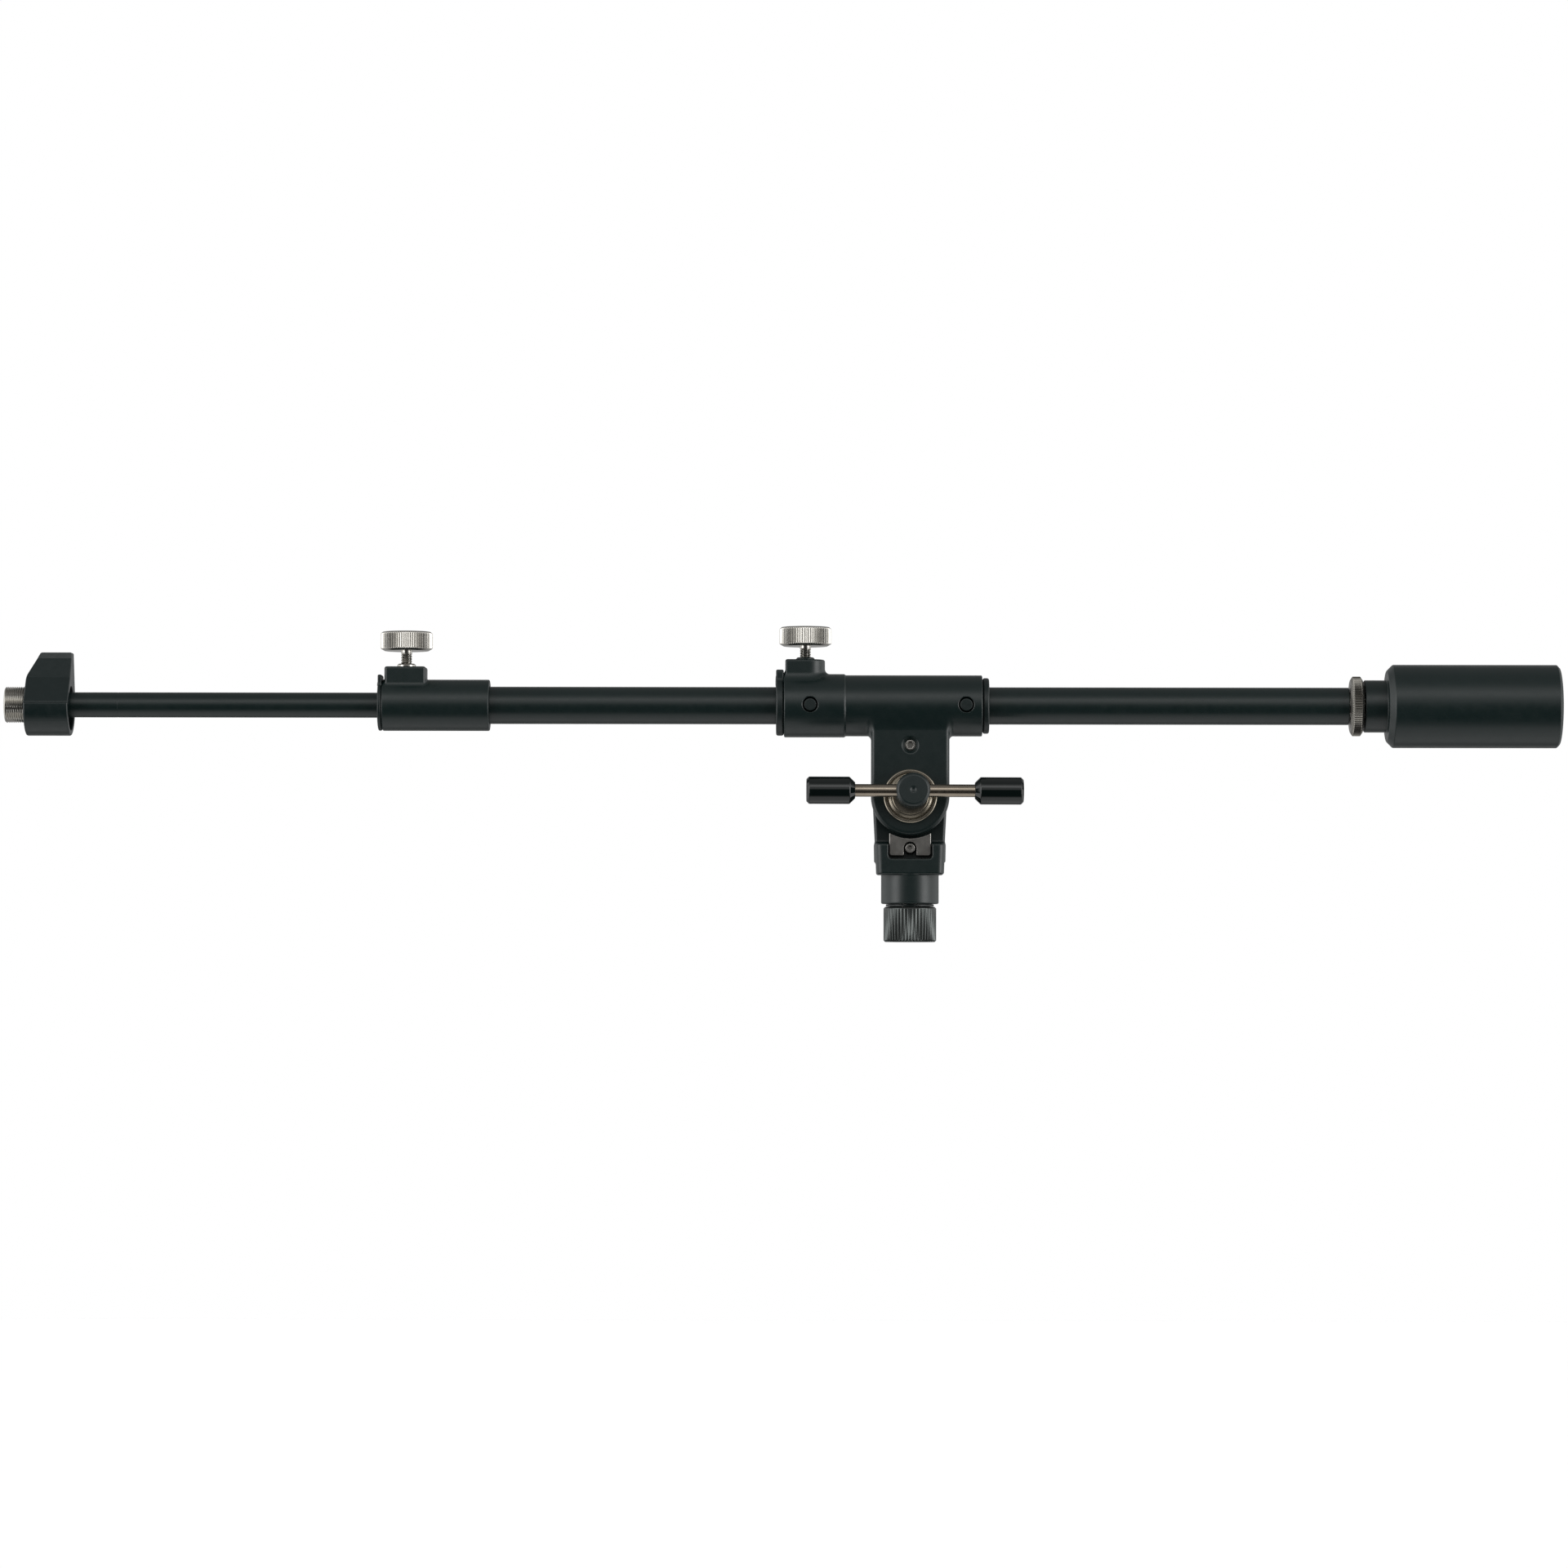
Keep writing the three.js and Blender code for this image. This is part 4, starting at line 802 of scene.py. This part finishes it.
low, high = span("main_tube")
tubeRadius, tubeBore = 8, 6.5
tubeProfile = [(tubeBore, low[0], 0.3), (tubeRadius, low[0], 0.4), (tubeRadius, high[0], 0.4),
               (tubeBore, high[0], 0.3)]
fit(turned("mainTube", tubeProfile, "x", (0, 0, boomZ), segments=128, isRing=True), "main_tube",
    "black_paint", blackPaint, "main_tube")

sleeveLow, sleeveHigh = span("clamp_sleeve")
sleeveScrewX = middle("sleeve_screw_stud")[0]
sleeveSize = {"radius": 11, "bore": 8.15, "bossInset": 1.1, "bossLength": 17.7, "bossHalf": 7.1,
              "bossTop": 16.4, "corner": 1.4, "screwHole": 4.15, "setHole": 2.15, "setInset": 10}


def sleeveField(x, y, z):
    s = sleeveSize
    up = z - boomZ
    radial = np.hypot(y, up)
    body = meet(radial - s["radius"], between(x, sleeveLow[0], sleeveHigh[0]), 0.6)
    bossMiddle = sleeveLow[0] + s["bossInset"] + s["bossLength"] / 2
    boss = rectangleField(x - bossMiddle, y, s["bossLength"] / 2, s["bossHalf"], s["corner"])
    boss = meet(boss, between(up, 0, s["bossTop"]), 0.9)
    body = blend(body, boss, 0.9)
    body = carve(body, radial - s["bore"], 0.3)
    body = carve(body, np.maximum(np.hypot(x - sleeveScrewX, y) - s["screwHole"], -up), 0.25)
    setX = sleeveHigh[0] - s["setInset"]
    return carve(body, np.maximum(np.hypot(x - setX, up) - s["setHole"], -y), 0.25)


sleeve = skinned("clampSleeve", sleeveField, sleeveLow, sleeveHigh, 0.38)
fit(sleeve, "main_tube", "black_paint", blackPaint, "clamp_sleeve")

low, high = span("sleeve_bush")
sleeveBushSize = {"flangeLow": low[0], "flangeHigh": low[0] + 1.6, "flange": 10.95, "edge": 0.6,
                  "tabTop": 12.9, "tabHalf": 6.9, "tabCorner": 1.2, "barrel": 8, "barrelLow": low[0] + 0.8,
                  "barrelHigh": high[0], "bore": 5.55, "holeX": sleeveScrewX, "hole": 2.45}
sleeveBush = skinned("sleeveBush", lambda x, y, z: bushField(x, y, z, sleeveBushSize), low, high, 0.32)
fit(sleeveBush, "main_tube", "bush_plastic", bushPlastic, "sleeve_bush")

grubLow, grubHigh = span("sleeve_set_screw")
grubX = (grubLow[0] + grubHigh[0]) / 2


def grubField(x, y, z):
    up = z - boomZ
    body = rodField(x - grubX, up, 2, y, grubLow[1], grubHigh[1], 0.25)
    return carve(body, np.maximum(hexField(x - grubX, up, 2), grubHigh[1] - 1.5 - y), 0.1)


fit(skinned("sleeveSetScrew", grubField, grubLow, grubHigh, 0.18), "main_tube", "steel", zincSteel,
    "sleeve_set_screw")

low, high = span("weight_lock_ring")
ringSize = {"teeth": 77, "depth": 0.45, "chamfer": 1.1}
outer = (high[2] - low[2]) / 2
left, right = low[0], high[0]
ringProfile = [
    (6.15, left, 0.2), (9.2, left, 0.3), (9.6, left + 0.3, 0.2),
    (outer - ringSize["chamfer"] - 0.4, left + 0.3, 0.3), (outer, left + ringSize["chamfer"] + 0.2, 0.3),
    (outer, right - ringSize["chamfer"] - 0.2, 0.3), (outer - ringSize["chamfer"] - 0.4, right - 0.3, 0.3),
    (9.6, right - 0.3, 0.2), (9.2, right, 0.3), (6.15, right, 0.2),
]
lockRing = turned(
    "weightLockRing", ringProfile, "x", (0, 0, boomZ), isRing=True,
    knurl={"teeth": ringSize["teeth"], "depth": ringSize["depth"], "start": left + 0.6, "end": right - 0.6,
           "fade": 0.5, "sharpness": 1.8, "band": (outer - 1.3, outer + 1)},
)
fit(lockRing, "lock_ring", "black_nickel", blackNickel, "weight_lock_ring")

low, high = span("counterweight")
left, right = low[0], high[0]
weightRadius = (high[2] - low[2]) / 2
neck, neckEnd = 11.2, left + 9.7
weightProfile = [
    (0, left + 25.3), (6.15, left + 25.3), (6.15, left, 0.3), (neck, left, 0.45), (neck, neckEnd, 0.5),
    (weightRadius - 2.6, neckEnd, 0.7), (weightRadius, neckEnd + 2.6, 1.0), (weightRadius, right - 1.2, 0.5),
    (weightRadius - 1.2, right, 0.4), (0, right),
]
weight = turned("counterweight_body", weightProfile, "x", (0, 0, boomZ), segments=144)
fit(weight, "counterweight", "black_paint", blackPaint, "counterweight")
print("main tube made")


low, high = span("inner_tube")
left, right = low[0], high[0]
innerSize = {"radius": 5.4, "bore": 4.2, "bead": 6, "beadWidth": 1.2, "beadInset": 8.3, "markX": 23.85,
             "markDepth": 0.06}
beadEnd = right - innerSize["beadInset"]
markX = left + innerSize["markX"]
innerProfile = [
    (innerSize["bore"], left, 0.2), (innerSize["radius"], left, 0.25),
    (innerSize["radius"], markX - 0.35, 0.1), (innerSize["radius"] - innerSize["markDepth"], markX, 0.1),
    (innerSize["radius"], markX + 0.35, 0.1),
    (innerSize["radius"], beadEnd - innerSize["beadWidth"] - 0.6, 0.1),
    (innerSize["bead"], beadEnd - innerSize["beadWidth"], 0.3), (innerSize["bead"], beadEnd, 0.2),
    (innerSize["radius"], beadEnd, 0.1), (innerSize["radius"], right, 0.25),
    (innerSize["bore"], right, 0.2),
]
fit(turned("innerTube", innerProfile, "x", (0, 0, boomZ), segments=112, isRing=True), "inner_tube",
    "black_paint", blackPaint, "inner_tube")

low, high = span("mic_thread_stud")
threadSize = {"radius": 7.75, "pitch": 0.941, "depth": 0.48, "spigot": 4.05}
tip, shoulder = low[0], left - 0.15
studProfile = [
    (0, tip + 0.5), (1.1, tip + 0.5, 0.1), (1.5, tip, 0.15), (threadSize["radius"] - 0.5, tip, 0.2),
    (threadSize["radius"], tip + 0.5, 0.1), (threadSize["radius"], shoulder - 2.2),
    (threadSize["radius"] - 0.45, shoulder - 1.9, 0.1), (threadSize["radius"] - 0.45, shoulder, 0.2),
    (threadSize["spigot"], shoulder, 0.1), (threadSize["spigot"], high[0], 0.3), (0, high[0]),
]
micStud = turned(
    "micThreadStud", studProfile, "x", (0, 0, boomZ), segments=112,
    thread={"pitch": threadSize["pitch"], "depth": threadSize["depth"], "band": (7.6, 7.9),
            "start": tip + 0.3, "end": shoulder - 2},
)
fit(micStud, "inner_tube", "bright_nickel", brightNickel, "mic_thread_stud")

wingLow, wingHigh = span("mic_lock_wing")
wingSize = {"body": 13.3, "top": 22.6, "front": 1, "thickness": 6.6, "slantRise": 12, "slantRun": 5.6,
            "bore": 7.9, "insert": 9.65, "faceWall": 3, "insertLength": 8.15, "hollow": 11,
            "hollowTop": 7.9}
s = wingSize
wingOutline = np.concatenate([
    arcPoints((0, 0), s["body"], 180, 360, 49),
    [(s["body"], 2), (s["front"] + s["thickness"], s["top"]), (s["front"], s["top"]), (0.4, 20.1),
     (-4.4, 11.5), (-9.6, 5.2), (-s["body"] + 0.15, 0.8)],
])
hollowOutline = np.concatenate([arcPoints((0, 0), s["hollow"], 186, 360, 37),
                                arcPoints((0, 0), s["hollowTop"], 0, 174, 25)])


def wingField(x, y, z):
    up = z - boomZ
    section = outlineField(wingOutline, y, up)
    body = meet(section, between(x, wingLow[0], wingHigh[0]), 0.7)
    lean = s["slantRun"] / math.hypot(s["slantRun"], s["top"] - s["slantRise"])
    steep = (s["top"] - s["slantRise"]) / math.hypot(s["slantRun"], s["top"] - s["slantRise"])
    slant = -(x - wingLow[0]) * steep + (up - s["slantRise"]) * lean
    body = meet(body, slant, 0.7)
    groove = np.hypot(y + s["body"], (up - 0.8) * 1.2) - 0.55
    body = carve(body, groove, 0.1)
    radial = np.hypot(y, up)
    body = carve(body, radial - s["bore"], 0.3)
    pocketEnd = wingLow[0] + s["faceWall"] + s["insertLength"]
    body = carve(body, meet(radial - s["insert"], between(x, wingLow[0] + s["faceWall"], pocketEnd), 0.1),
                 0.1)
    hollow = np.maximum(outlineField(hollowOutline, y, up), pocketEnd + 1 - x)
    return carve(body, hollow, 0.35)


wing = skinned("micLockWing", wingField, wingLow, wingHigh, 0.34)
fit(wing, "mic_wing", "wing_plastic", wingPlastic, "mic_lock_wing")

low, high = span("wing_nut_insert")
insertProfile = [(7.95, low[0], 0.3), (9.5, low[0], 0.2), (9.5, high[0], 0.2), (7.95, high[0], 0.3)]
insert = turned(
    "wingNutInsert", insertProfile, "x", (0, 0, boomZ), segments=96, isRing=True,
    thread={"pitch": 0.941, "depth": -0.3, "band": (7.9, 8), "start": low[0] + 0.2, "end": high[0] - 0.2},
)
fit(insert, "mic_wing", "brass", turnedBrass, "wing_nut_insert")
print("inner tube made")

# Hidden solids that stay as they are, in their own finishes.
keptNodes = {"pivot_sleeve": zincSteel, "weight_plug": zincSteel, "guide_ring": bushPlastic,
             "inner_end_plug": bushPlastic, "boom_screw_pad": turnedBrass, "sleeve_screw_pad": turnedBrass}
for node, material in keptNodes.items():
    keptSlots = frame["nodes"][node].material_slots
    for slot in keptSlots:
        slot.material = material


studioSize = {"floorZ": -0.7, "floorHalf": 9, "camera": (-0.037, -2.45, -0.015),
              "target": (-0.054, 0, 0.0677), "lens": 131.25, "sensor": 36, "roll": 0.09,
              "aim": (-0.05, 0, 0.08)}
# Brightness of the air round the object, by direction.
airGlow = {"base": 0.05, "side": 1.2, "back": 0.35, "backShade": 0.6, "under": 0.78, "front": 0.6,
           "overhead": 0.25}


def addLight(name, place, size, brightness):
    data = bpy.data.lights.new(name, "AREA")
    data.shape = "RECTANGLE"
    data.size, data.size_y = size
    data.energy = brightness * math.pi * size[0] * size[1]
    light = bpy.data.objects.new(name, data)
    light.location = place
    aim = Vector(studioSize["aim"]) - Vector(place)
    light.rotation_euler = aim.to_track_quat("-Z", "Y").to_euler()
    light.visible_camera = False
    bpy.context.scene.collection.objects.link(light)


addLight("frontSoftbox", (-0.05, -1.66, 1.2), (2.2, 0.6), 1.0)
addLight("leftStrip", (-1.73, -1.0, 0.15), (1.0, 1.6), 2.0)
addLight("rightStrip", (1.77, -0.94, 0.15), (1.0, 1.6), 2.7)


# White to the camera, and a soft room to everything else: a broad light above the front, a dark
# band below it, pale sides and a pale floor underneath.
def studioAir():
    world = bpy.data.worlds.new("studioAir")
    world.use_nodes = True
    tree = world.node_tree
    where = tree.nodes.new("ShaderNodeTexCoord")
    parts = tree.nodes.new("ShaderNodeSeparateXYZ")
    tree.links.new(where.outputs["Generated"], parts.inputs["Vector"])

    def combine(a, b, operation="ADD"):
        node = tree.nodes.new("ShaderNodeMath")
        node.operation = operation
        for slot, value in zip(node.inputs, (a, b)):
            if isinstance(value, (int, float)):
                slot.default_value = value
            else:
                tree.links.new(value, slot)
        return node.outputs["Value"]

    def times(*values):
        result = values[0]
        for value in values[1:]:
            result = combine(result, value, "MULTIPLY")
        return result

    def rise(value, start, end, low=0, high=1):
        node = tree.nodes.new("ShaderNodeMapRange")
        node.interpolation_type = "SMOOTHSTEP"
        for name, number in (("From Min", start), ("From Max", end), ("To Min", low), ("To Max", high)):
            node.inputs[name].default_value = number
        tree.links.new(value, node.inputs["Value"])
        return node.outputs["Result"]

    x, y, z = parts.outputs["X"], parts.outputs["Y"], parts.outputs["Z"]
    level = times(rise(z, 0.45, 0.8, 1, 0), rise(z, -0.8, -0.45))
    side = rise(times(x, x), 0.12, 0.72)
    terms = [
        times(level, side, rise(y, 0.2, 0.8, airGlow["side"], airGlow["side"] * (1 - airGlow["backShade"]))),
        times(level, rise(y, 0.2, 0.8, 0, airGlow["back"])),
        rise(z, -0.92, -0.72, airGlow["under"], 0),
        times(rise(y, -0.35, 0, 1, 0), rise(z, 0.06, 0.2), rise(z, 0.7, 0.88, airGlow["front"], 0)),
        rise(z, 0.6, 0.9, 0, airGlow["overhead"]),
    ]
    glow = airGlow["base"]
    for term in terms:
        glow = combine(term, glow)
    air, plain = tree.nodes["Background"], tree.nodes.new("ShaderNodeBackground")
    tree.links.new(glow, air.inputs["Strength"])
    air.inputs["Color"].default_value = (1, 1, 1, 1)
    plain.inputs["Color"].default_value = (1, 1, 1, 1)
    path, mix = tree.nodes.new("ShaderNodeLightPath"), tree.nodes.new("ShaderNodeMixShader")
    tree.links.new(path.outputs["Is Camera Ray"], mix.inputs["Fac"])
    tree.links.new(air.outputs["Background"], mix.inputs[1])
    tree.links.new(plain.outputs["Background"], mix.inputs[2])
    tree.links.new(mix.outputs["Shader"], tree.nodes["World Output"].inputs["Surface"])
    bpy.context.scene.world = world


studioAir()

floorHalf, floorZ = studioSize["floorHalf"], studioSize["floorZ"]
floorCorners = [(-floorHalf, -floorHalf, floorZ), (floorHalf, -floorHalf, floorZ),
                (floorHalf, floorHalf, floorZ), (-floorHalf, floorHalf, floorZ)]
floorMesh = bpy.data.meshes.new("studioFloor")
floorMesh.from_pydata(floorCorners, [], [(0, 1, 2, 3)])
floor = bpy.data.objects.new("studioFloor", floorMesh)
paleFloor = bpy.data.materials.new("paleFloor")
paleFloor.use_nodes = True
floorShader = paleFloor.node_tree.nodes["Principled BSDF"]
floorShader.inputs["Base Color"].default_value = (0.9, 0.9, 0.9, 1)
floorShader.inputs["Roughness"].default_value = 0.9
floorShader.inputs["Specular IOR Level"].default_value = 0
floorShader.inputs["Emission Color"].default_value = (1, 1, 1, 1)
floorShader.inputs["Emission Strength"].default_value = 0.5
floor.data.materials.append(paleFloor)
floor.visible_glossy = floor.visible_diffuse = floor.visible_shadow = False
bpy.context.scene.collection.objects.link(floor)

cameraData = bpy.data.cameras.new("studioCamera")
cameraData.lens = studioSize["lens"]
cameraData.sensor_width = studioSize["sensor"]
camera = bpy.data.objects.new("studioCamera", cameraData)
camera.location = studioSize["camera"]
look = (Vector(studioSize["target"]) - Vector(studioSize["camera"])).to_track_quat("-Z", "Y")
camera.rotation_euler = (look.to_matrix() @ Matrix.Rotation(math.radians(studioSize["roll"]), 3,
                                                            "Z")).to_euler()
bpy.context.scene.collection.objects.link(camera)
bpy.context.scene.camera = camera
bpy.context.scene.view_settings.view_transform = "Standard"
print("studio made")
